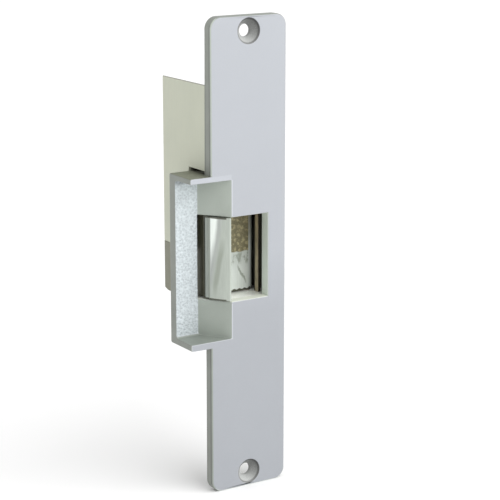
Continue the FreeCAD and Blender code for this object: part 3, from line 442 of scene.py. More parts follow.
@dataclass(frozen=True)
class KeeperSteel(Finish):
    """Satin steel with upright bands on the jaw's outer face, partly painted reflection and painted shade,
    and a stained, mottled pocket floor.
    """

    hinge_mm: Span = (7.0, 12.6)
    bright: Colour = (0.640, 0.680, 0.640)
    middle: Colour = (0.390, 0.425, 0.380)
    dull: Colour = (0.250, 0.275, 0.225)
    brown: Colour = (0.215, 0.192, 0.110)
    # Near black for the painted shade in the keeper's gaps.
    black: Colour = (0.055, 0.055, 0.036)
    floor_mm: float = 8.0
    outer_mm: float = 22.6
    heel_mm: float = 20.5
    floor_right_mm: float = 9.4
    highlight_from_mm: float = 7.9
    half_height_mm: float = 17.1
    stain_end_mm: float = -0.4
    gap_shadow_mm: float = -16.7

    def paint(self, g: Graph) -> None:
        """Bands follow the angle about the hinge; the pocket's stain follows height."""
        angle = g.x.maths("ARCTAN2", self.hinge_mm[1] - g.y, self.hinge_mm[0] - g.x) * (180 / math.pi)
        radius = ((g.x - self.hinge_mm[0]) ** 2 + (g.y - self.hinge_mm[1]) ** 2) ** 0.5
        drawn = g.grain(0.35, 3.0, 0.6, (1.0, 1.0, 0.05))
        fine = g.grain(0.12, 2.0)
        blot = g.grain(2.6, 4.0, 0.65, (1.0, 1.0, 0.55))
        smear = g.grain(5.0, 2.0, 0.5, (1.0, 1.0, 0.3))
        outer = radius.above(self.outer_mm, 0.3)
        side = g.tint(self.middle, 0.8 + drawn * 0.4)
        # The heel, facing the tray wall, is painted near black as painted shade.
        heel = g.tint(self.black, 0.4 + (drawn - 0.17) * 4.0)
        rest = g.blend(radius.above(self.heel_mm, 0.3) * (-g.face_x).above(0.3, 0.2), side, heel)
        floor = (-g.face_y).above(0.6, 0.2) * g.y.above(self.floor_mm - 1.7, 0.5)
        floor = floor * g.x.below(self.floor_right_mm, 0.2)
        faced = g.blend(outer, rest, self.jaw(g, angle, drawn, smear))
        g.colour(g.blend(floor, faced, self.pocket(g, blot, drawn)))
        g.roughness(0.34 + drawn.swing(0.2) + (1 - outer) * 0.08)
        g.relief(drawn * 0.03 + fine * 0.006 + blot * 0.05 * floor)

    def jaw(self, g: Graph, angle: Reading, drawn: Reading, smear: Reading) -> bpy.types.NodeSocket:
        """Colour of the jaw's round face: a root painted dark as painted shade, a dull band, a painted shade
        line at the groove, then a painted reflection that narrows downwards.

        Args:
            g: The graph.
            angle: Angle about the hinge, in degrees.
            drawn: Fine upright streaks.
            smear: Broad soft streaks.

        Returns:
            The colour.
        """
        reach = 32.0 + g.z * 0.40 + smear.swing(6.0)
        low = g.z.above(-11.0, 5.0)
        # A painted reflection that reaches less far round as it goes down, with a painted glare in it and a
        # painted shadow just past its edge.
        painted_sheen = (angle - reach).below(-1.0, 4.0) * (low * 0.7 + 0.3)
        glare = (angle - reach).below(-6.0, 4.0) * angle.above(25.2, 1.0) * low
        shadow = (angle - reach).between(0.5, 6.0, 2.5) * g.z.between(-14.0, 6.0, 7.0) * 0.6
        base = g.tint(self.middle, 0.95 + drawn * 0.3 + smear.swing(0.2))
        # Colour of the painted reflection, lighter still where the painted glare is.
        painted_light = g.tint(self.bright, 0.50 + drawn * 0.3 + glare * 0.72)
        face = g.blend(shadow, g.blend(painted_sheen, base, painted_light), self.dull)
        face = g.blend(angle.below(24.4, 0.5), face, g.tint(self.middle, 0.6 + drawn * 0.5))
        # A painted shade line along the groove.
        face = g.blend(angle.between(23.4, 24.4, 0.4) * 0.8, face, self.dull)
        # The root, deep in the gap by the tray wall, is painted near black as painted shade.
        root = g.tint(self.black, (0.4 + (drawn - 0.17) * 4.0) * (1 - angle.above(17.2, 0.5) * 0.8))
        # Painted shadow lines of the gaps along the jaw's top and bottom edges.
        line = abs(g.z - 0.1).above(self.half_height_mm, 0.15) * angle.below(43.0, 1.0)
        return g.blend(line * 0.9, g.blend(angle.below(18.6, 0.5), face, root), self.black)

    def pocket(self, g: Graph, blot: Reading, drawn: Reading) -> bpy.types.NodeSocket:
        """Colour of the pocket's floor: brown stain above, blotched silver below, a painted highlight at its
        right and a scalloped painted shadow at its foot.

        Args:
            g: The graph.
            blot: Mottle.
            drawn: Fine upright streaks.

        Returns:
            The colour.
        """
        fleck = g.grain(1.5, 3.0, 0.6)
        brown = g.tint(self.brown, 0.44 + blot * 0.75 + fleck.above(0.55, 0.16) * 0.95)
        silver = g.tint(self.bright, 0.86 + drawn * 0.3)
        grey = g.tint(self.dull, 0.6 + blot * 0.8)
        slant = g.z + g.x * 1.6 - 2.0 + fleck.swing(3.0)
        streak = slant.between(-6.0, -4.2, 0.8) * g.x.between(2.5, 6.5, 1.0)
        marks = streak * 0.8 + blot.above(0.54, 0.10) * g.z.between(-5.5, -0.8, 1.5) * 0.8
        veil = g.z.above(-6.0, 5.0) * 0.4
        low = g.blend(marks, g.blend(veil, silver, self.middle), grey)
        stained = g.blend((g.z + blot.swing(1.6)).above(self.stain_end_mm, 0.5), low, brown)
        # A painted highlight: a pale upright band along the floor's right side, weaker higher up.
        strip = g.x.above(self.highlight_from_mm, 0.3) * (1 - g.z.above(4.0, 6.0) * 0.5)
        rubbed = g.blend(strip, stained, self.bright)
        # A scalloped painted shadow along the floor's foot, in the gap above the lower plate.
        scalloped_gap_shadow = (g.z - (g.x * 2.4).wave() * 0.25 - fleck.swing(0.4)).below(self.gap_shadow_mm, 0.2)
        return g.blend(scalloped_gap_shadow, rubbed, self.black)


@dataclass(frozen=True)
class RolledSheet(Finish):
    """Sheet steel with rolling streaks, a soft passivated cloud, handling scuffs and bright cut edges; its
    inside can be painted dark as painted shade.
    """

    body: Colour = (0.5, 0.5, 0.45)
    cloud_tint: Colour = (0.45, 0.45, 0.38)
    cut: Colour = (0.6, 0.6, 0.55)
    scuffed: Colour = (0.60, 0.61, 0.54)
    rough: float = 0.45
    streak: float = 0.08
    scuffs: float = 0.5
    inner_shade_mm: tuple[Colour, Colour] = ((-15.9, -1.0, -30.0), (14.9, 33.4, 58.9))
    inner: Colour = (0.10, 0.10, 0.08)
    inner_shade_share: float = 0.0

    def paint(self, g: Graph) -> None:
        """Streaks run upright along the sheet, clouds are large, and scuffs are short and slanted."""
        streaks = g.grain(0.30, 3.0, 0.6, (1.0, 1.0, 0.02))
        cloud = g.grain(14.0, 3.0, 0.55)
        fleck = g.grain(0.18, 2.0, 0.6)
        scuff = g.grain(0.5, 2.0, 0.6, (0.12, 1.0, 0.5)).above(0.72, 0.05) * self.scuffs
        level = abs(g.face_z).above(0.9, 0.1)
        base = g.blend(cloud.above(0.5, 0.3), self.body, self.cloud_tint)
        base = g.tint(base, 1.0 + streaks.swing(2 * self.streak) + fleck.swing(0.05))
        base = g.blend(scuff * 0.35, base, self.scuffed)
        (left, front, low), (right, back, high) = self.inner_shade_mm
        # Painted shade: faces inside the case are darkened towards near black.
        painted_inner_shade = g.x.between(left, right, 0.1) * g.y.between(front, back, 0.1) * g.z.between(low, high, 4.0)
        base = g.blend(painted_inner_shade * self.inner_shade_share, base, self.inner)
        g.colour(g.blend(level, base, self.cut))
        g.roughness(self.rough + streaks.swing(0.14) + cloud.swing(0.1) - scuff * 0.1)
        g.relief(streaks * 0.012 + fleck * 0.006 + scuff * 0.01)


@dataclass(frozen=True)
class ZincPlate(Finish):
    """Bright zinc with its fine crystal spangle and a faint blue-yellow cast."""

    pale: Colour = (0.62, 0.63, 0.62)
    warm: Colour = (0.56, 0.54, 0.47)
    # Pale colour for the painted light on top faces.
    painted_sheen: Colour = (0.90, 0.91, 0.86)
    sheen_share: float = 0.0
    sheen_to_mm: float = 10.0

    def paint(self, g: Graph) -> None:
        """Crystals are small cells; the warm cast drifts; where asked, top faces near the front are painted
        lighter as painted light.
        """
        cells = g.pebbles(0.6, 0.1)
        drift = g.grain(7.0, 3.0)
        fine = g.grain(0.15, 2.0)
        shade = g.blend(drift.above(0.52, 0.25), self.pale, self.warm)
        # Painted light: top faces near the front, which sit in shade, are painted much lighter.
        rubbed = g.face_z.above(0.8, 0.1) * g.y.below(self.sheen_to_mm, 0.6) * self.sheen_share
        g.colour(g.tint(g.blend(rubbed, shade, self.painted_sheen), 0.88 + cells * 0.25 + fine.swing(0.1)))
        g.roughness(0.30 + cells * 0.14 + fine.swing(0.1))
        g.relief(cells * 0.008 + fine * 0.006)


@dataclass(frozen=True)
class BrownStrip(Finish):
    """Blued steel strip gone brown, with a paler rubbed edge."""

    dark: Colour = (0.260, 0.225, 0.150)
    rust: Colour = (0.440, 0.365, 0.235)
    black: Colour = (0.030, 0.026, 0.016)
    shadow_from_mm: float = 5.4

    def paint(self, g: Graph) -> None:
        """Brown blotches over a dark base, drawn out along the strip; its front edge and root, which sit in
        shadow, are painted black as painted shade.
        """
        blotch = g.grain(1.8, 4.0, 0.65, (1.0, 1.0, 0.35))
        fine = g.grain(0.16, 2.0)
        rubbed = g.tint(g.blend(blotch.above(0.5, 0.25), self.dark, self.rust), 0.85 + fine * 0.3)
        # Painted shade: the front edge and the root are painted black.
        shade_painted_black = (-g.face_y).above(0.6, 0.2) + g.y.above(self.shadow_from_mm, 0.3)
        g.colour(g.blend(shade_painted_black, rubbed, self.black))
        g.roughness(0.42 + blotch * 0.2)
        g.relief(blotch * 0.03 + fine * 0.01)


@dataclass(frozen=True)
class Grained(Finish):
    """A fine grain over one colour, with soft patches of another."""

    base: Colour = (0.5, 0.5, 0.5)
    patch: Colour = (0.4, 0.4, 0.4)
    fine: tuple = (0.1, 3.0)
    broad: tuple = (3.0, 3.0)
    patch_edge: Span = (0.55, 0.3)
    patch_share: float = 1.0
    shade: Span = (1.0, 0.0)
    rough: Colour = (0.5, 0.0, 0.0)
    bump: Span = (0.01, 0.0)

    def paint(self, g: Graph) -> None:
        """Grain and patches are noises; colour, roughness and relief are sums of shares of the two."""
        fine, broad = g.grain(*self.fine), g.grain(*self.broad)
        mixed = g.blend(broad.above(*self.patch_edge) * self.patch_share, self.base, self.patch)
        g.colour(g.tint(mixed, self.shade[0] + fine * self.shade[1]))
        g.roughness(self.rough[0] + fine * self.rough[1] + broad * self.rough[2])
        g.relief(fine * self.bump[0] + broad * self.bump[1])


@dataclass(frozen=True)
class SinteredBronze(Finish):
    """Porous bronze with dark pores and an oily sheen."""

    bronze: Colour = (0.53, 0.33, 0.14)
    pore: Colour = (0.16, 0.09, 0.04)

    def paint(self, g: Graph) -> None:
        """Pores are small dark dots between fine grains."""
        dots = g.pebbles(0.22, 0.1).below(0.22, 0.12)
        fine = g.grain(0.3, 3.0)
        g.colour(g.blend(dots * 0.7, g.tint(self.bronze, 0.8 + fine * 0.4), self.pore))
        g.roughness(0.36 + dots * 0.3)
        g.relief(fine * 0.01 - dots * 0.02)


@dataclass(frozen=True)
class MouldedPlastic(Finish):
    """Moulded plastic with spark-eroded grain, flow clouding and a slight sheen."""

    body: Colour = (0.03, 0.03, 0.034)
    pale: Colour = (0.06, 0.06, 0.065)
    rough: float = 0.5

    def paint(self, g: Graph) -> None:
        """Eroded grain is a fine relief; flow shows as faint paler swirls."""
        erosion = g.grain(0.16, 3.0, 0.7)
        flow = g.grain(4.0, 3.0, 0.6, (1.0, 1.0, 0.4))
        g.colour(g.blend(flow.above(0.55, 0.35) * 0.6, g.tint(self.body, 0.9 + erosion * 0.2), self.pale))
        g.roughness(self.rough + erosion.swing(0.25))
        g.relief(erosion * 0.02)


@dataclass(frozen=True)
class CoilWrap(Finish):
    """Enamelled copper winding under a band of yellow tape, wrinkled along its lap."""

    copper: Colour = (0.42, 0.15, 0.05)
    enamel: Colour = (0.55, 0.25, 0.09)
    tape: Colour = (0.62, 0.42, 0.07)
    band_mm: Span = (26.0, 41.5)

    def paint(self, g: Graph) -> None:
        """Tape lies between two heights; the wire shows above and below it."""
        ragged = g.grain(1.5, 2.0)
        taped = (g.z + ragged.swing(0.5)).between(*self.band_mm, 0.15)
        wrinkle = g.grain(1.1, 3.0, 0.6, (1.0, 1.0, 0.25))
        glaze = g.grain(0.8, 2.0)
        wire = g.blend(glaze, self.copper, self.enamel)
        g.colour(g.blend(taped, wire, g.tint(self.tape, 0.8 + wrinkle * 0.4)))
        g.roughness(0.30 + taped * 0.12 + wrinkle.swing(0.15))
        g.relief(wrinkle * 0.12 * taped + glaze * 0.01)


@dataclass(frozen=True)
class StudioFloor(Finish):
    """Plain pale floor, all but even, with a trace of tooth."""

    white: Colour = (0.97, 0.97, 0.97)

    def paint(self, g: Graph) -> None:
        """A very faint mottle."""
        g.colour(g.tint(self.white, 0.995 + g.grain(40.0, 2.0) * 0.01))
        g.roughness(0.9)


class Kit(Enum):
    """The finishes of the strike's pieces."""

    CASTING = CastingPaint("plate_casting")
    KEEPER = KeeperSteel("keeper_casting", 0.25)
    OLIVE = RolledSheet("olive_passivated_steel", 0.0, (0.545, 0.567, 0.456), (0.568, 0.588, 0.474),
                        (0.20, 0.20, 0.14), rough=0.42, streak=0.055, scuffs=0.2)
    DULL = RolledSheet("chassis_steel", 0.3, (0.265, 0.268, 0.212), (0.235, 0.234, 0.180), (0.34, 0.34, 0.28),
                       (0.34, 0.34, 0.28), 0.5, 0.14, 0.8, inner_shade_share=0.85)
    ZINC = ZincPlate("zinc_plated_steel", 0.85)
    # Zinc whose top near the front is painted lighter as painted light; the lower plate takes it.
    PAINTED_LIGHT_ZINC = ZincPlate("zinc_plated_steel", 0.2, sheen_share=1.0)
    BROWN = BrownStrip("brown_steel", 0.2)
    BAR = Grained("ground_steel", 0.9, (0.47, 0.475, 0.48), (0.40, 0.37, 0.31),
                  (0.10, 3.0, 0.6, (0.05, 0.05, 1.0)), patch_edge=(0.58, 0.2), shade=(0.85, 0.3),
                  rough=(0.19, 0.14, 0.1), bump=(0.010, 0.0))
    WIRE = Grained("spring_steel", 0.9, (0.36, 0.365, 0.375), (0.33, 0.28, 0.20),
                   (0.12, 3.0, 0.65, (0.5, 0.5, 1.0)), (2.2, 2.0), shade=(0.8, 0.4), rough=(0.30, 0.18, 0.0),
                   bump=(0.008, 0.0))
    BRONZE = SinteredBronze("bronze", 0.9)
    RUBBER = Grained("black_rubber", 0.0, (0.022, 0.022, 0.023), (0.085, 0.085, 0.083), (0.14, 2.0),
                     (2.5, 3.0, 0.6), patch_share=0.7, rough=(0.62, 0.2, 0.0), bump=(0.025, 0.02))
    NYLON = MouldedPlastic("black_nylon", 0.0, (0.030, 0.030, 0.034), (0.065, 0.065, 0.070), 0.48)
    COIL = CoilWrap("coil_tape", 0.1)
    BLOCK = MouldedPlastic("green_plastic", 0.0, (0.030, 0.160, 0.070), (0.055, 0.230, 0.110), 0.42)


class Paintbox:
    """Makes each finish's material once."""

    made: ClassVar[dict[str, bpy.types.Material]] = {}

    @classmethod
    def material(cls, kit: Kit) -> bpy.types.Material:
        """The material of a finish, made at its first use."""
        if kit.name not in cls.made:
            cls.made[kit.name] = kit.value.material()
        return cls.made[kit.name]


# ---- surfaces ----


def grid_faces(rows: int, columns: int, join_rows: bool = False) -> np.ndarray:
    """Quads of a grid whose columns join round; its rows join too if asked.

    Args:
        rows: Points along the first parameter.
        columns: Points round the second parameter.
        join_rows: Whether the last row meets the first.

    Returns:
        Corner numbers, four a face.
    """
    across = np.arange(rows if join_rows else rows - 1)[:, None]
    round_ = np.arange(columns)[None, :]
    upper, after = (across + 1) % rows, (round_ + 1) % columns
    here, there = across * columns, upper * columns
    corners = [here + round_, here + after, there + after, there + round_]
    return np.stack(np.broadcast_arrays(*corners), axis=-1).reshape(-1, 4)


def polar(radius: np.ndarray, angle: np.ndarray, height: np.ndarray, centre: Span = (0, 0)) -> np.ndarray:
    """Points at radii and angles about an upright axis through a centre, at heights."""
    x, y = centre[0] + radius * np.cos(angle), centre[1] + radius * np.sin(angle)
    return np.stack(np.broadcast_arrays(x, y, height), axis=-1)


def turned(profile: np.ndarray, sides: int = 64, ring: bool = False) -> Surface:
    """A surface of revolution about +Z: each profile point (radius, height) is carried round a full turn.

    Args:
        profile: Radius and height pairs; radius 0 closes a pole.
        sides: Steps of the turn.
        ring: Whether the profile is a closed loop.

    Returns:
        Points and faces.
    """
    points = polar(profile[:, :1], np.linspace(0, 2 * np.pi, sides, endpoint=False), profile[:, 1:])
    return points.reshape(-1, 3), grid_faces(len(profile), sides, ring)


def eased(corners: Sequence[tuple[float, float]], ease: Union[float, Sequence[float]], ring: bool = False,
          steps: int = 4) -> np.ndarray:
    """Round each corner of a profile with a quadratic curve from ease before the corner to ease after it.

    Args:
        corners: The profile's corner points.
        ease: How far from the corner the rounding starts, one value or one a corner.
        ring: Whether the profile is a closed loop.
        steps: Steps of each rounding.

    Returns:
        The finer profile.
    """
    points = np.array(corners, float)
    eases = np.broadcast_to(np.asarray(ease, float), len(points))
    before, after = np.roll(points, 1, axis=0) - points, np.roll(points, -1, axis=0) - points
    spans = [np.linalg.norm(way, axis=1, keepdims=True) for way in (before, after)]
    reach = np.minimum(eases[:, None], 0.48 * np.minimum(*spans))
    start, end = points + before / spans[0] * reach, points + after / spans[1] * reach
    share = np.linspace(0, 1, steps + 1)[None, :, None]
    start, end, corner = start[:, None], end[:, None], points[:, None]
    curve = (1 - share) ** 2 * start + 2 * share * (1 - share) * corner + share ** 2 * end
    if ring:
        return curve.reshape(-1, 2)
    inner = curve[1:-1].reshape(-1, 2)
    return np.concatenate([points[:1], inner, points[-1:]])


def carried(section: np.ndarray, path: np.ndarray, up: Sequence[float], size: np.ndarray) -> Surface:
    """A closed section carried along a path; its ends are closed to a point.

    Each section point (a, b) lies at path + a * side + b * rise, where side is the tangent crossed with
    the up direction, and rise is side crossed with the tangent.

    Args:
        section: Points of the closed section, in metres.
        path: Points of the path.
        up: A direction the path never follows.
        size: The section's scale at each path point.

    Returns:
        Points and faces.
    """
    tangent = np.gradient(path, axis=0)
    tangent /= np.linalg.norm(tangent, axis=1, keepdims=True)
    side = np.cross(tangent, np.array(up, float))
    side /= np.linalg.norm(side, axis=1, keepdims=True)
    rise = np.cross(side, tangent)
    a, b = section[:, 0][None, :, None], section[:, 1][None, :, None]
    rows = path[:, None] + size[:, None, None] * (a * side[:, None] + b * rise[:, None])
    points = np.concatenate([np.repeat(path[:1], len(section), 0), rows.reshape(-1, 3),
                             np.repeat(path[-1:], len(section), 0)])
    return points, grid_faces(len(path) + 2, len(section))


def round_section(radius: float, sides: int = 12) -> np.ndarray:
    """Points of a circle."""
    angle = np.linspace(0, 2 * np.pi, sides, endpoint=False)
    return radius * np.stack([np.cos(angle), np.sin(angle)], axis=-1)


def raised(outline: np.ndarray, low: float, high: float, rim: float) -> Surface:
    """A slab with rounded rims: the outline is carried up through inset, full and inset loops, then closed.

    Each loop is the outline moved along its inward normal by rim * (1 - sin t), and t runs from 0 to a
    quarter turn at the bottom rim and back at the top.

    Args:
        outline: Plan points, anticlockwise.
        low: Bottom height.
        high: Top height.
        rim: Radius of the rims.

    Returns:
        Points and faces of the wall only; the caps are filled when the mesh is made.
    """
    along = np.roll(outline, -1, axis=0) - np.roll(outline, 1, axis=0)
    along /= np.linalg.norm(along, axis=1, keepdims=True)
    inward = np.stack([-along[:, 1], along[:, 0]], axis=-1)
    t = np.linspace(0, np.pi / 2, 4)
    inset = np.concatenate([1 - np.sin(t), (1 - np.sin(t))[::-1]]) * rim
    height = np.concatenate([low + rim * (1 - np.cos(t)), (high - rim * (1 - np.cos(t)))[::-1]])
    plan = outline[None] + inset[:, None, None] * inward[None]
    heights = np.broadcast_to(height[:, None, None], (len(height), len(outline), 1))
    points = np.concatenate([plan, heights], axis=-1).reshape(-1, 3)
    return points, grid_faces(len(height), len(outline))


def joined(surfaces: Sequence[Surface]) -> Surface:
    """Several surfaces as one set of points and faces."""
    starts = np.cumsum([0] + [len(points) for points, _ in surfaces[:-1]])
    points = np.concatenate([points for points, _ in surfaces])
    return points, np.concatenate([faces + start for (_, faces), start in zip(surfaces, starts)])


def pointed(points: np.ndarray, seat: Vector, direction: Vector) -> np.ndarray:
    """Turn points made along +Z to a direction and carry them to a seat."""
    turn = np.array(direction.to_track_quat("Z", "Y").to_matrix())
    return points @ turn.T + np.array(seat)


def solids(node: str) -> list[tuple[Vector, Vector]]:
    """The box of each separate solid of a CAD node.

    Args:
        node: The CAD node's name.

    Returns:
        Lowest and highest corner of each, in the mesh's order.
    """
    mesh = bmesh.new()
    mesh.from_mesh(frame["nodes"][node].data)
    bmesh.ops.remove_doubles(mesh, verts=mesh.verts, dist=1e-6)
    left, boxes = set(mesh.verts), []
    while left:
        island, front = set(), [left.pop()]
        while front:
            vertex = front.pop()
            island.add(vertex)
            near = {edge.other_vert(vertex) for edge in vertex.link_edges} & left
            left -= near
            front += near
        spots = np.array([vertex.co for vertex in island])
        boxes.append((Vector(spots.min(0)), Vector(spots.max(0))))
    mesh.free()
    return sorted(boxes, key=lambda box: tuple(round(value, 5) for value in box[0]))


class Workshop:
    """Turns surfaces and CAD nodes into finished pieces on their bodies."""

    SMOOTH_ANGLE: ClassVar[float] = math.radians(35)
    FLAT_ANGLE: ClassVar[float] = math.radians(0.4)

    @staticmethod
    def body_of(node: str) -> str:
        """The body a CAD node belongs to."""
        return frame["nodes"][node]["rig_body"]

    @classmethod
    def finish_piece(cls, piece: bpy.types.Object, node: str, kit: Kit,
                     across: Across = None) -> bpy.types.Object:
        """Dress a piece, put it on its body in place of a CAD node, and report it.

        Args:
            piece: The new object, in place.
            node: The CAD node it stands for.
            kit: Its finish.
            across: For a spring between two bodies, the bodies and the points where each one's share begins;
                only whether it is given is used, and the piece is then left on no body with its place baked
                in.

        Returns:
            The same object.
        """
        piece.data.materials.clear()
        piece.data.materials.append(Paintbox.material(kit))
        if across:
            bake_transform(piece)
        else:
            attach(piece, cls.body_of(node))
        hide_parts(node)
        LOG.info("%s: %d faces, finish %s", piece.name, len(piece.data.polygons), kit.name)
        return piece

    @classmethod
    def build(cls, name: str, surface: Surface, node: str, kit: Kit,
              across: Across = None) -> bpy.types.Object:
        """Make a piece from points and faces, with its poles closed, its holes filled and its faces outwards.

        Args:
            name: The piece's name.
            surface: Points and faces.
            node: The CAD node it stands for.
            kit: Its finish.
            across: As for finish_piece.

        Returns:
            The new object.
        """
        points, faces = surface
        mesh = bpy.data.meshes.new(name)
        mesh.from_pydata(points.tolist(), [], faces.tolist())
        work = bmesh.new()
        work.from_mesh(mesh)
        bmesh.ops.remove_doubles(work, verts=work.verts, dist=2e-7)
        bmesh.ops.dissolve_degenerate(work, edges=work.edges, dist=1e-7)
        bmesh.ops.holes_fill(work, edges=[edge for edge in work.edges if edge.is_boundary], sides=0)
        bmesh.ops.recalc_face_normals(work, faces=work.faces)
        work.to_mesh(mesh)
        work.free()
        cls.shade(mesh)
        piece = bpy.data.objects.new(name, mesh)
        bpy.context.scene.collection.objects.link(piece)
        return cls.finish_piece(piece, node, kit, across)

    @classmethod
    def group(cls, name: str, node: str, kit: Kit, make: Callable[[Vector, Vector], Surface]) -> None:
        """Make one piece that holds a surface for each separate solid of a CAD node, made from its box."""
        cls.build(name, joined([make(low, high) for low, high in solids(node)]), node, kit)

    @classmethod
    def shade(cls, mesh: bpy.types.Mesh) -> None:
        """Shade a mesh smooth, with its corners kept sharp."""
        mesh.polygons.foreach_set("use_smooth", np.ones(len(mesh.polygons), bool))
        mesh.set_sharp_from_angle(angle=cls.SMOOTH_ANGLE)

    @classmethod
    def softened(cls, name: str, node: str, kit: Kit, ease: float, limit_deg: float = 40.0,
                 kept: Sequence[tuple[Vector, float]] = ()) -> bpy.types.Object:
        """Make a piece from a CAD node's own solid, with its corners eased.

        Args:
            name: The piece's name.
            node: The CAD node it copies and stands for.
            kit: Its finish.
            ease: Width of the eased corners.
            limit_deg: Corners sharper than this are eased.
            kept: Spots and radii where corners stay as they are, such as where a rounding runs out.

        Returns:
            The new object.
        """
        mesh = frame["nodes"][node].data.copy()
        mesh.name = name
        work = bmesh.new()
        work.from_mesh(mesh)
        bmesh.ops.remove_doubles(work, verts=work.verts, dist=1e-6)
        bmesh.ops.dissolve_limit(work, angle_limit=cls.FLAT_ANGLE, verts=work.verts, edges=work.edges)
        weight = work.edges.layers.float.new("bevel_weight_edge")
        for edge in work.edges:
            sharp = len(edge.link_faces) == 2 and edge.calc_face_angle() > math.radians(limit_deg)
            clear = all((end.co - spot).length > reach for end in edge.verts for spot, reach in kept)
            edge[weight] = float(sharp and clear)
        work.to_mesh(mesh)
        work.free()
        if mesh.has_custom_normals:
            mesh.attributes.remove(mesh.attributes["custom_normal"])
        cls.shade(mesh)
        piece = bpy.data.objects.new(name, mesh)
        bpy.context.scene.collection.objects.link(piece)
        bevel = piece.modifiers.new("eased_corners", "BEVEL")
        bevel.width, bevel.segments, bevel.limit_method = ease, 2, "WEIGHT"
        bevel.use_clamp_overlap, bevel.harden_normals = False, True
        return cls.finish_piece(piece, node, kit)


# ---- sub-assemblies ----


@dataclass
class Casework:
    """Casting, keeper, folded sheets and plates: the CAD solids with eased corners."""

    cast_ease: float = 0.30 * MM
    sheet_ease: float = 0.18 * MM
    fine_ease: float = 0.12 * MM
    plate_corners_mm: Corners = (((-18.25, -4.76, 36.1), 1.5), ((-18.25, -4.76, -36.6), 1.5))
    chassis_corners_mm: Corners = (((15.0, 34.5, 1.9), 1.9), ((-15.6, 33.2, -19.6), 1.0))

    def build(self) -> None:
        """Make every piece of the casework, with some corners left as they are, each within its reach."""
        for name, node, kit, ease, kept in (
                ("faceplate_casting", "faceplate", Kit.CASTING, self.cast_ease, self.plate_corners_mm),
                ("keeper_casting", "keeper", Kit.KEEPER, self.fine_ease, ()),
                ("cover_sheet", "side_cover", Kit.OLIVE, self.sheet_ease, ()),
                ("chassis_channel", "chassis", Kit.DULL, self.sheet_ease, self.chassis_corners_mm),
                ("lower_plate", "lower_bearing_plate", Kit.PAINTED_LIGHT_ZINC, self.sheet_ease, ()),
                ("upper_plate", "upper_bearing_plate", Kit.ZINC, self.sheet_ease, ()),
                ("pocket_guard", "guard_strip", Kit.BROWN, self.sheet_ease, ()),
                ("terminal_body", "terminal_block", Kit.BLOCK, self.fine_ease, ()),
                ("coil_yoke", "solenoid_frame", Kit.ZINC, self.sheet_ease, ()),
                ("open_stop_pad", "open_stop_bumper", Kit.RUBBER, self.sheet_ease, ())):
            reaches = [(Vector(corner) * MM, reach * MM) for corner, reach in kept]
            Workshop.softened(name, node, kit, ease, kept=reaches)


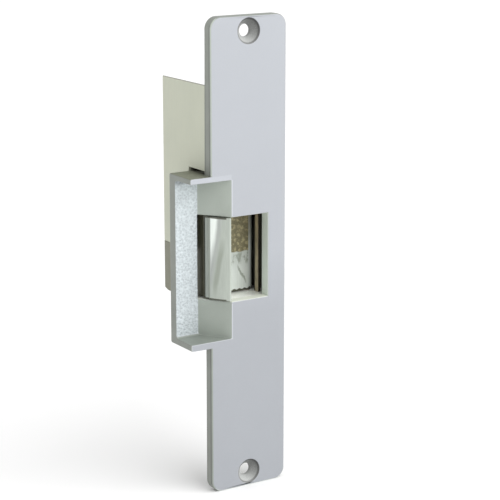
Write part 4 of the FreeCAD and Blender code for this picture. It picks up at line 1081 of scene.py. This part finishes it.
@dataclass
class PanScrews:
    """Cross-recessed pan-head machine screws with real threads."""

    shank_r: float = 1.5 * MM
    thread_depth: float = 0.16 * MM
    pitch: float = 0.5 * MM
    head_r: float = 2.7 * MM
    head_height: float = 1.7 * MM
    crown: float = 0.35 * MM
    head_edge: float = 0.25 * MM
    head_wall: float = 0.75 * MM
    head_ease: float = 0.22 * MM
    thread_runout: float = 0.4 * MM
    tip_length: float = 0.35 * MM
    tip_share: float = 0.78
    recess_taper: float = 0.45
    recess_depth: float = 0.95 * MM
    recess_half_width: float = 0.36 * MM
    recess_half_span: float = 1.55 * MM
    groups: dict[str, Vector] = field(default_factory=lambda: {
        "bracket_screws": Vector((0, -1, 0)),
        "case_screws": Vector((0, -1, 0)),
        "cover_screws": Vector((0, -1, 0)),
        "terminal_block_screws": Vector((-1, 0, 0)),
        "solenoid_screws": Vector((0, 0, -1)),
    })

    def screw(self, length: float) -> Surface:
        """One screw along +Z with its seat at the origin and its head below it.

        The surface is a grid of rows by turn angle. On the head's top the height is the crown's
        parabola less the recess depth times a cross mask. Down the shank the radius is the shank's
        less the thread depth times a triangle wave of (height / pitch - turn).

        Args:
            length: Length of the shank under the seat.

        Returns:
            Points and faces.
        """
        turn = np.linspace(0, 2 * np.pi, 96, endpoint=False)[None, :]
        out = np.linspace(0, 1, 44)[:, None] * (self.head_r - self.head_edge)
        x, y = out * np.cos(turn), out * np.sin(turn)
        slot_a = self.bar(x, self.recess_half_width) * self.bar(y, self.recess_half_span)
        slot_b = self.bar(y, self.recess_half_width) * self.bar(x, self.recess_half_span)
        taper = 1 - self.recess_taper * np.clip(out / self.recess_half_span, 0, 1) ** 2
        dish = self.crown * (out / self.head_r) ** 2
        top = -self.head_height + dish + self.recess_depth * np.maximum(slot_a, slot_b) * taper
        brow = self.head_wall - self.head_height
        edge = eased([(self.head_r - self.head_edge, top[-1, 0]), (self.head_r, brow), (self.head_r, 0),
                      (self.shank_r, 0)], self.head_ease)
        rim = self.ring_rows(edge[1:], turn)
        rows = 10 * max(2, int(length / self.pitch))
        height = np.linspace(0.02 * MM, length - self.tip_length, rows)[:, None]
        phase = (height / self.pitch - turn / (2 * np.pi)) % 1
        fade = np.clip(height / self.thread_runout, 0, 1)
        radius = self.shank_r - self.thread_depth * fade * np.abs(2 * phase - 1)
        shank = polar(radius, turn, height)
        tip = self.ring_rows(np.array([[self.shank_r * self.tip_share, length], [0, length]]), turn)
        head = np.stack([x, y, top], axis=-1)
        points = np.concatenate([head, rim, shank, tip])
        return points.reshape(-1, 3), grid_faces(len(points), turn.shape[1])

    @staticmethod
    def bar(value: np.ndarray, half: float) -> np.ndarray:
        """A smooth mask that is 1 within half of zero: a clipped slope 0.08 mm wide at each edge."""
        return np.clip((half - np.abs(value)) / (0.08 * MM) + 0.5, 0, 1)

    @staticmethod
    def ring_rows(profile: np.ndarray, turn: np.ndarray) -> np.ndarray:
        """Rows of points: each profile point (radius, height) carried round the turn angles."""
        return polar(profile[:, :1], turn, profile[:, 1:])

    def build(self) -> None:
        """Make one piece for each group of screws, at its CAD solids."""
        for node, way in self.groups.items():
            name = node.replace("_screws", "_pan_screws")
            Workshop.group(name, node, Kit.ZINC, partial(self.seated, way))

    def seated(self, way: Vector, low: Vector, high: Vector) -> Surface:
        """One screw in its CAD solid's box.

        Args:
            way: From the head to the tip.
            low: The box's lowest corner.
            high: Its highest corner.

        Returns:
            Points and faces.
        """
        axis = int(np.argmax(np.abs(way)))
        seat = (low + high) / 2
        head_end, tip_end = (high, low) if way[axis] < 0 else (low, high)
        seat[axis] = head_end[axis] + way[axis] * self.head_height
        points, faces = self.screw(abs(tip_end[axis] - seat[axis]))
        return pointed(points, seat, way), faces


@dataclass
class ClampScrews:
    """Slotted clamping screws of the terminal block."""

    head_r: float = 1.9 * MM
    slot_half: float = 0.3 * MM
    slot_depth: float = 0.6 * MM
    head: float = 1.2 * MM
    shank_r: float = 1.2 * MM
    edge: float = 0.12 * MM
    ease: float = 0.08 * MM

    def build(self) -> None:
        """Make both screws as one piece."""
        Workshop.group("terminal_clamp_screws", "terminal_screws", Kit.ZINC, self.screw)

    def screw(self, low: Vector, high: Vector) -> Surface:
        """One screw along +X in its CAD solid's box; its head's top is a grid with a slot pressed into it.

        Height of the top is the slot depth times a mask that is 1 where |y| is under half the slot's width.

        Args:
            low: The box's lowest corner.
            high: Its highest corner.

        Returns:
            Points and faces.
        """
        turn = np.linspace(0, 2 * np.pi, 72, endpoint=False)[None, :]
        out = np.linspace(0, 1, 30)[:, None] * (self.head_r - self.edge)
        length = high.x - low.x
        head = polar(out, turn, self.slot_depth * PanScrews.bar(out * np.sin(turn), self.slot_half))
        side = eased([(self.head_r - self.edge, 0), (self.head_r, self.edge), (self.head_r, self.head),
                      (self.shank_r, self.head), (self.shank_r, length), (0, length)], self.ease)
        points = np.concatenate([head, PanScrews.ring_rows(side[1:], turn)])
        seat = Vector((low.x, (low.y + high.y) / 2, (low.z + high.z) / 2))
        return pointed(points.reshape(-1, 3), seat, Vector((1, 0, 0))), grid_faces(len(points), turn.size)


@dataclass
class TurnedParts:
    """Pins, bushes, washers, pole, bobbin and plunger, each a profile carried round its upright axis."""

    ease: float = 0.15 * MM
    fine_ease: float = 0.12 * MM
    hub_bore: float = 2.03 * MM
    guide_bore: float = 2.05 * MM
    oil_groove: float = 0.15 * MM
    oil_groove_foot: float = 0.3 * MM
    oil_groove_lip: float = 0.5 * MM
    pin_point: float = 0.5 * MM
    pin_r: float = 2.0 * MM
    pin_head: float = 1.6 * MM
    pin_groove_r: float = 1.5 * MM
    pin_groove_end: float = 2.6 * MM
    clip_groove: float = 0.8 * MM

    def solid(self, name: str, node: str, kit: Kit, profile: Profile, sides: int = 64,
              ring: bool = False) -> None:
        """Make a piece of turned solids, each on the middle of its CAD solid's box.

        Args:
            name: The piece's name.
            node: The CAD node.
            kit: The finish.
            profile: Gives profile points from a solid's radius and length.
            sides: Steps of the turn.
            ring: Whether the profile is a closed loop; otherwise it runs from pole to pole.
        """
        def make(low: Vector, high: Vector) -> Surface:
            """One turned solid on the middle of its box."""
            points, faces = turned(profile((high.x - low.x) / 2, high.z - low.z), sides, ring)
            return points + np.array([(low.x + high.x) / 2, (low.y + high.y) / 2, low.z]), faces

        Workshop.group(name, node, kit, make)

    def sleeve(self, name: str, node: str, kit: Kit, bore: float, groove: float = 0.0) -> None:
        """Make bored pieces: a closed loop of outer wall and bore, with eased rims.

        Args:
            name: The piece's name.
            node: The CAD node.
            kit: The finish.
            bore: Radius of the bore.
            groove: Depth of an oil groove round the middle of the bore.
        """
        def profile(outer: float, length: float) -> np.ndarray:
            """Outer wall and bore, with the groove when it has one."""
            corners = [(bore, 0), (outer, 0), (outer, length), (bore, length)]
            if groove:
                lip, foot = self.oil_groove_lip, self.oil_groove_foot
                corners += [(bore, length / 2 + lip), (bore + groove, length / 2 + foot),
                            (bore + groove, length / 2 - foot), (bore, length / 2 - lip)]
            return eased(corners, min(self.ease, length / 5, (outer - bore) / 5), ring=True, steps=2)

        self.solid(name, node, kit, profile, ring=True)

    def build(self) -> None:
        """Make every turned part but the solenoid's."""
        point = self.pin_point
        self.solid("hinge_pin", "keeper_pin", Kit.BAR, self.hinge_pin)
        self.solid("heel_stop", "stop_pin", Kit.BAR,
                   lambda r, h: eased([(0, 0), (r, 0), (r, h), (0, h)], self.ease))
        self.solid("lock_pin", "locking_pin", Kit.BAR,
                   lambda r, h: eased([(0, 0), (r - point, 0), (r, point), (r, h), (0, h)], self.ease))
        self.sleeve("hub_bushes", "keeper_bushes", Kit.BRONZE, self.hub_bore, self.oil_groove)
        self.sleeve("hub_washers", "thrust_washers", Kit.WIRE, self.hub_bore)
        self.sleeve("lock_pin_guide", "locking_pin_bush", Kit.BRONZE, self.guide_bore)

    def hinge_pin(self, radius: float, length: float) -> np.ndarray:
        """Profile of the headed pin, with its clip groove."""
        shaft, groove, low = self.pin_r, self.pin_groove_r, length - self.pin_groove_end
        high = low + self.clip_groove
        return eased([(0, 0), (radius, 0), (radius, self.pin_head), (shaft, self.pin_head), (shaft, low),
                      (groove, low), (groove, high), (shaft, high), (shaft, length), (0, length)], self.ease)


@dataclass
class Solenoid(TurnedParts):
    """Bobbin, winding, pole and plunger round the locking pin's axis."""

    bore: float = 3.68 * MM
    tube: float = 4.48 * MM
    flange: float = 1.0 * MM
    wire_pitch: float = 0.5 * MM
    wire_bulge: float = 0.14 * MM
    tape: float = 0.12 * MM
    tape_span: Span = (3.2 * MM, 18.7 * MM)
    pole_neck: float = 3.0 * MM
    pole_step: float = 1.6 * MM
    pole_bore: float = 2.2 * MM
    pin_bore: float = 2.0 * MM
    pin_bore_depth: float = 5 * MM
    groove: float = 0.5 * MM
    clip: float = 0.8 * MM

    def build(self) -> None:
        """Make the four pieces."""
        self.solid("coil_bobbin", "solenoid_bobbin", Kit.NYLON, self.bobbin, 96, ring=True)
        self.solid("coil_winding", "solenoid_coil", Kit.COIL, self.winding, 72, ring=True)
        self.solid("fixed_pole", "pole_piece", Kit.BAR, self.pole, ring=True)
        self.solid("armature", "plunger", Kit.BAR, self.plunger)

    def bobbin(self, radius: float, length: float) -> np.ndarray:
        """Profile of a bored tube with a flange at each end."""
        low, high = self.flange, length - self.flange
        return eased([(self.bore, 0), (radius, 0), (radius, low), (self.tube, low), (self.tube, high),
                      (radius, high), (radius, length), (self.bore, length)], self.fine_ease, ring=True)

    def pole(self, radius: float, length: float) -> np.ndarray:
        """Profile of the bored pole with a narrower neck."""
        neck, step, bore = self.pole_neck, self.pole_step, self.pole_bore
        return eased([(bore, 0), (neck, 0), (neck, step), (radius, step), (radius, length), (bore, length)],
                     self.fine_ease, ring=True)

    def plunger(self, radius: float, length: float) -> np.ndarray:
        """Profile of the plunger: a blind bore below for the pin, a clip groove above."""
        bore, depth, floor = self.pin_bore, self.pin_bore_depth, radius - self.groove
        low = length - 2 * self.clip
        high = low + self.clip
        return eased([(0, depth), (bore, depth), (bore, 0), (radius, 0), (radius, low), (floor, low),
                      (floor, high), (radius, high), (radius, length), (0, length)], self.ease)

    def winding(self, radius: float, length: float) -> np.ndarray:
        """Profile of the winding.

        Its outer radius is the coil's less a bulge times |sin(pi * height / pitch)| taken from 1, so each
        layer of wire is a ridge; under the tape the ridges are flattened to a quarter.
        """
        height = np.linspace(0, length, 353)
        taped = (height > self.tape_span[0]) & (height < self.tape_span[1])
        depth = self.wire_bulge * np.where(taped, 0.25, 1.0)
        valley = 1 - np.abs(np.sin(np.pi * height / self.wire_pitch))
        ridge = radius - np.where(taped, 0, self.tape) - depth * valley
        return np.concatenate([np.stack([ridge, height], -1), [[self.tube, length], [self.tube, 0]]])


@dataclass
class Springs:
    """The keeper's torsion spring and the plunger's compression spring, as wire carried along a path."""

    torsion_wire: float = 0.5 * MM
    torsion_turns: float = 5.75
    lift_wire: float = 0.3 * MM
    lift_turns: float = 4.0
    leg_inset: float = 0.02 * MM
    leg_room: float = 0.55 * MM
    end_pull: float = 0.105
    end_share: float = 0.04

    def build(self) -> None:
        """Make both springs."""
        self.torsion()
        self.lift()

    def torsion(self) -> None:
        """Make the torsion spring: a left-wound helix about the hinge with a straight leg at each end.

        The helix is centre + r * (cos t, sin t) with t falling as height rises. Legs leave along its
        tangents, rounded into it by the path's own even steps.
        """
        low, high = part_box("keeper_spring")
        pin_low, pin_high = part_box("keeper_pin")
        cx, cy = (pin_low.x + pin_high.x) / 2, (pin_low.y + pin_high.y) / 2
        coil_r = high.x - cx - self.torsion_wire
        bottom, top = low.z + self.torsion_wire, high.z - self.torsion_wire
        share = np.linspace(0, 1, int(48 * self.torsion_turns))
        angle = np.pi / 2 - 2 * np.pi * self.torsion_turns * share
        rise = bottom + (top - bottom) * share
        helix = polar(coil_r, angle, rise, (cx, cy))
        first = np.linspace([low.x + self.leg_inset, helix[0, 1], bottom], helix[0], 24, endpoint=False)
        last = np.linspace(helix[-1], [helix[-1, 0], high.y - self.leg_inset, top], 25)[1:]
        path = np.concatenate([first, helix, last])
        start, end = (Vector((cx, cy, z)) for z in (bottom + self.leg_room, top - self.leg_room))
        bodies = Workshop.body_of("keeper"), Workshop.body_of("chassis")
        self.wind("keeper_return_spring", "keeper_spring", path, self.torsion_wire, (*bodies, start, end))

    def lift(self) -> None:
        """Make the compression spring: a helix whose pitch closes towards both ground ends.

        Height follows share - end_pull * sin(2 pi share), so the end turns lie closer together.
        """
        low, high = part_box("plunger_spring")
        cx, cy = (low.x + high.x) / 2, (low.y + high.y) / 2
        radius = (high.x - low.x) / 2 - self.lift_wire
        share = np.linspace(0, 1, int(64 * (self.lift_turns + 1)))
        angle = 2 * np.pi * (self.lift_turns + 1) * share
        rise = share - self.end_pull * np.sin(2 * np.pi * share)
        z = low.z + self.lift_wire + (high.z - low.z - 2 * self.lift_wire) * rise
        path = polar(radius, angle, z, (cx, cy))
        spare = (high.z - low.z) * self.end_share
        start, end = Vector((cx, cy, low.z - spare)), Vector((cx, cy, high.z + spare))
        bodies = Workshop.body_of("chassis"), Workshop.body_of("plunger")
        self.wind("plunger_lift_spring", "plunger_spring", path, self.lift_wire, (*bodies, start, end))

    def wind(self, name: str, node: str, path: np.ndarray, wire: float, across: Across) -> None:
        """Make a spring: a round wire carried along a path, left on no body though two bodies are passed on
        with it.
        """
        surface = carried(round_section(wire), path, (0, 0, 1), self.blunt(path, wire))
        Workshop.build(name, surface, node, Kit.WIRE, across)

    @staticmethod
    def blunt(path: np.ndarray, wire: float) -> np.ndarray:
        """Scale of the wire along a path, rounded at its ends.

        It is 0.55 + 0.45 * sqrt(1 - (1 - q)^2), where q is the distance from the nearer end over 0.6 of the
        wire's radius, held to 1.
        """
        step = np.linalg.norm(np.diff(path, axis=0), axis=1)
        along = np.concatenate([[0], np.cumsum(step)])
        near_end = np.minimum(along, along[-1] - along)
        reach = np.clip(near_end / (0.6 * wire), 0, 1)
        return 0.55 + 0.45 * np.sqrt(1 - (1 - reach) ** 2)


@dataclass
class RetainingClips:
    """E-shaped retaining clips in the grooves of the hinge pin and the plunger."""

    mouth: float = 2.2 * MM
    rim: float = 0.12 * MM
    kinds: tuple[tuple[str, str, float], ...] = (("hinge_pin_clip", "keeper_pin_clip", 1.7 * MM),
                                                 ("armature_clip", "plunger_clip", 2.3 * MM))

    def outline(self, outer: float, inner: float) -> np.ndarray:
        """Plan of a clip open towards -Y, anticlockwise.

        The outer edge is an arc of the outer radius. The inner edge is the shaft's arc, relieved between
        its three bearing lobes by 0.3 * (outer - inner) times a clipped cosine of three times the angle, and
        that relief fades out at the mouth.

        Args:
            outer: Outside radius.
            inner: Radius of the groove's floor.

        Returns:
            The closed outline.
        """
        open_out = math.asin(self.mouth / 2 / outer)
        open_in = math.asin(min(0.95, self.mouth / 2 / inner))
        sweep = np.linspace(-np.pi / 2 + open_out, 3 * np.pi / 2 - open_out, 90)
        back = np.linspace(3 * np.pi / 2 - open_in, -np.pi / 2 + open_in, 90)
        relief = 0.3 * (outer - inner) * np.clip(-np.cos(3 * (back - np.pi / 2)) * 1.6, 0, 1)
        relief *= np.clip(4 * np.abs(np.sin((back + np.pi / 2) / 2)) - 1.6, 0, 1)
        inside = inner + relief
        out = np.stack([outer * np.cos(sweep), outer * np.sin(sweep)], -1)
        return np.concatenate([out, np.stack([inside * np.cos(back), inside * np.sin(back)], -1)])

    def build(self) -> None:
        """Make both clips on their CAD boxes."""
        for name, node, overhang in self.kinds:
            low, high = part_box(node)
            outer = (high.x - low.x) / 2
            points, faces = raised(self.outline(outer, outer - overhang), 0, high.z - low.z, self.rim)
            centre = np.array([(low.x + high.x) / 2, high.y - outer, low.z])
            Workshop.build(name, (points + centre, faces), node, Kit.WIRE)


# ---- stage ----


@dataclass
class Studio:
    """Pale floor, soft lights and the camera."""

    eye: tuple[float, float, float] = (-0.37352, -0.59024, 0.17204)
    look: tuple[float, float, float] = (0.5232, 0.8189, -0.2361)
    lens: float = 123.5
    floor_half: float = 40.0
    sky: Colour = (1.0, 1.0, 1.0)
    sky_strength: float = 0.7
    sun_from: tuple[float, float, float] = (0.35, -0.75, 0.55)
    sun_strength: float = 2.5
    sun_angle: float = math.radians(75)

    def build(self) -> None:
        """Make the floor, the lights and the camera."""
        self.floor()
        self.world()
        self.sun()
        self.camera()

    def floor(self) -> None:
        """Make a wide floor under the strike's lower end; it is stage."""
        half, low = self.floor_half, CAD_BOX[0].z
        corners = [(-half, -half, low), (half, -half, low), (half, half, low), (-half, half, low)]
        mesh = bpy.data.meshes.new("studio_floor")
        mesh.from_pydata(corners, [], [(0, 1, 2, 3)])
        plane = bpy.data.objects.new("studio_floor", mesh)
        bpy.context.scene.collection.objects.link(plane)
        mesh.materials.append(StudioFloor("studio_floor").material())

    def world(self) -> None:
        """Light the scene evenly from all round."""
        world = bpy.data.worlds.new("studio")
        world.use_nodes = True
        background = world.node_tree.nodes["Background"]
        background.inputs["Color"].default_value = (*self.sky, 1.0)
        background.inputs["Strength"].default_value = self.sky_strength
        bpy.context.scene.world = world

    def sun(self) -> None:
        """Add one broad, soft light from the front right."""
        lamp = bpy.data.lights.new("soft_key", "SUN")
        lamp.energy, lamp.angle = self.sun_strength, self.sun_angle
        holder = bpy.data.objects.new("soft_key", lamp)
        holder.rotation_euler = (-Vector(self.sun_from)).to_track_quat("-Z", "Y").to_euler()
        bpy.context.scene.collection.objects.link(holder)

    def camera(self) -> None:
        """Set the camera."""
        lens = bpy.data.cameras.new("camera")
        lens.lens, lens.sensor_width, lens.clip_start, lens.clip_end = self.lens, 36.0, 0.01, 50.0
        eye = bpy.data.objects.new("camera", lens)
        eye.location = self.eye
        eye.rotation_euler = Vector(self.look).to_track_quat("-Z", "Y").to_euler()
        bpy.context.scene.collection.objects.link(eye)
        bpy.context.scene.camera = eye


def main() -> None:
    """Build the strike's pieces and its stage."""
    logging.basicConfig(level=logging.INFO, format="%(name)s %(message)s")
    bpy.context.scene.view_settings.view_transform = "Standard"
    for part in (Casework, PanScrews, ClampScrews, TurnedParts, Solenoid, Springs, RetainingClips):
        part().build()
    Studio().build()


if __name__ == "__main__":
    main()
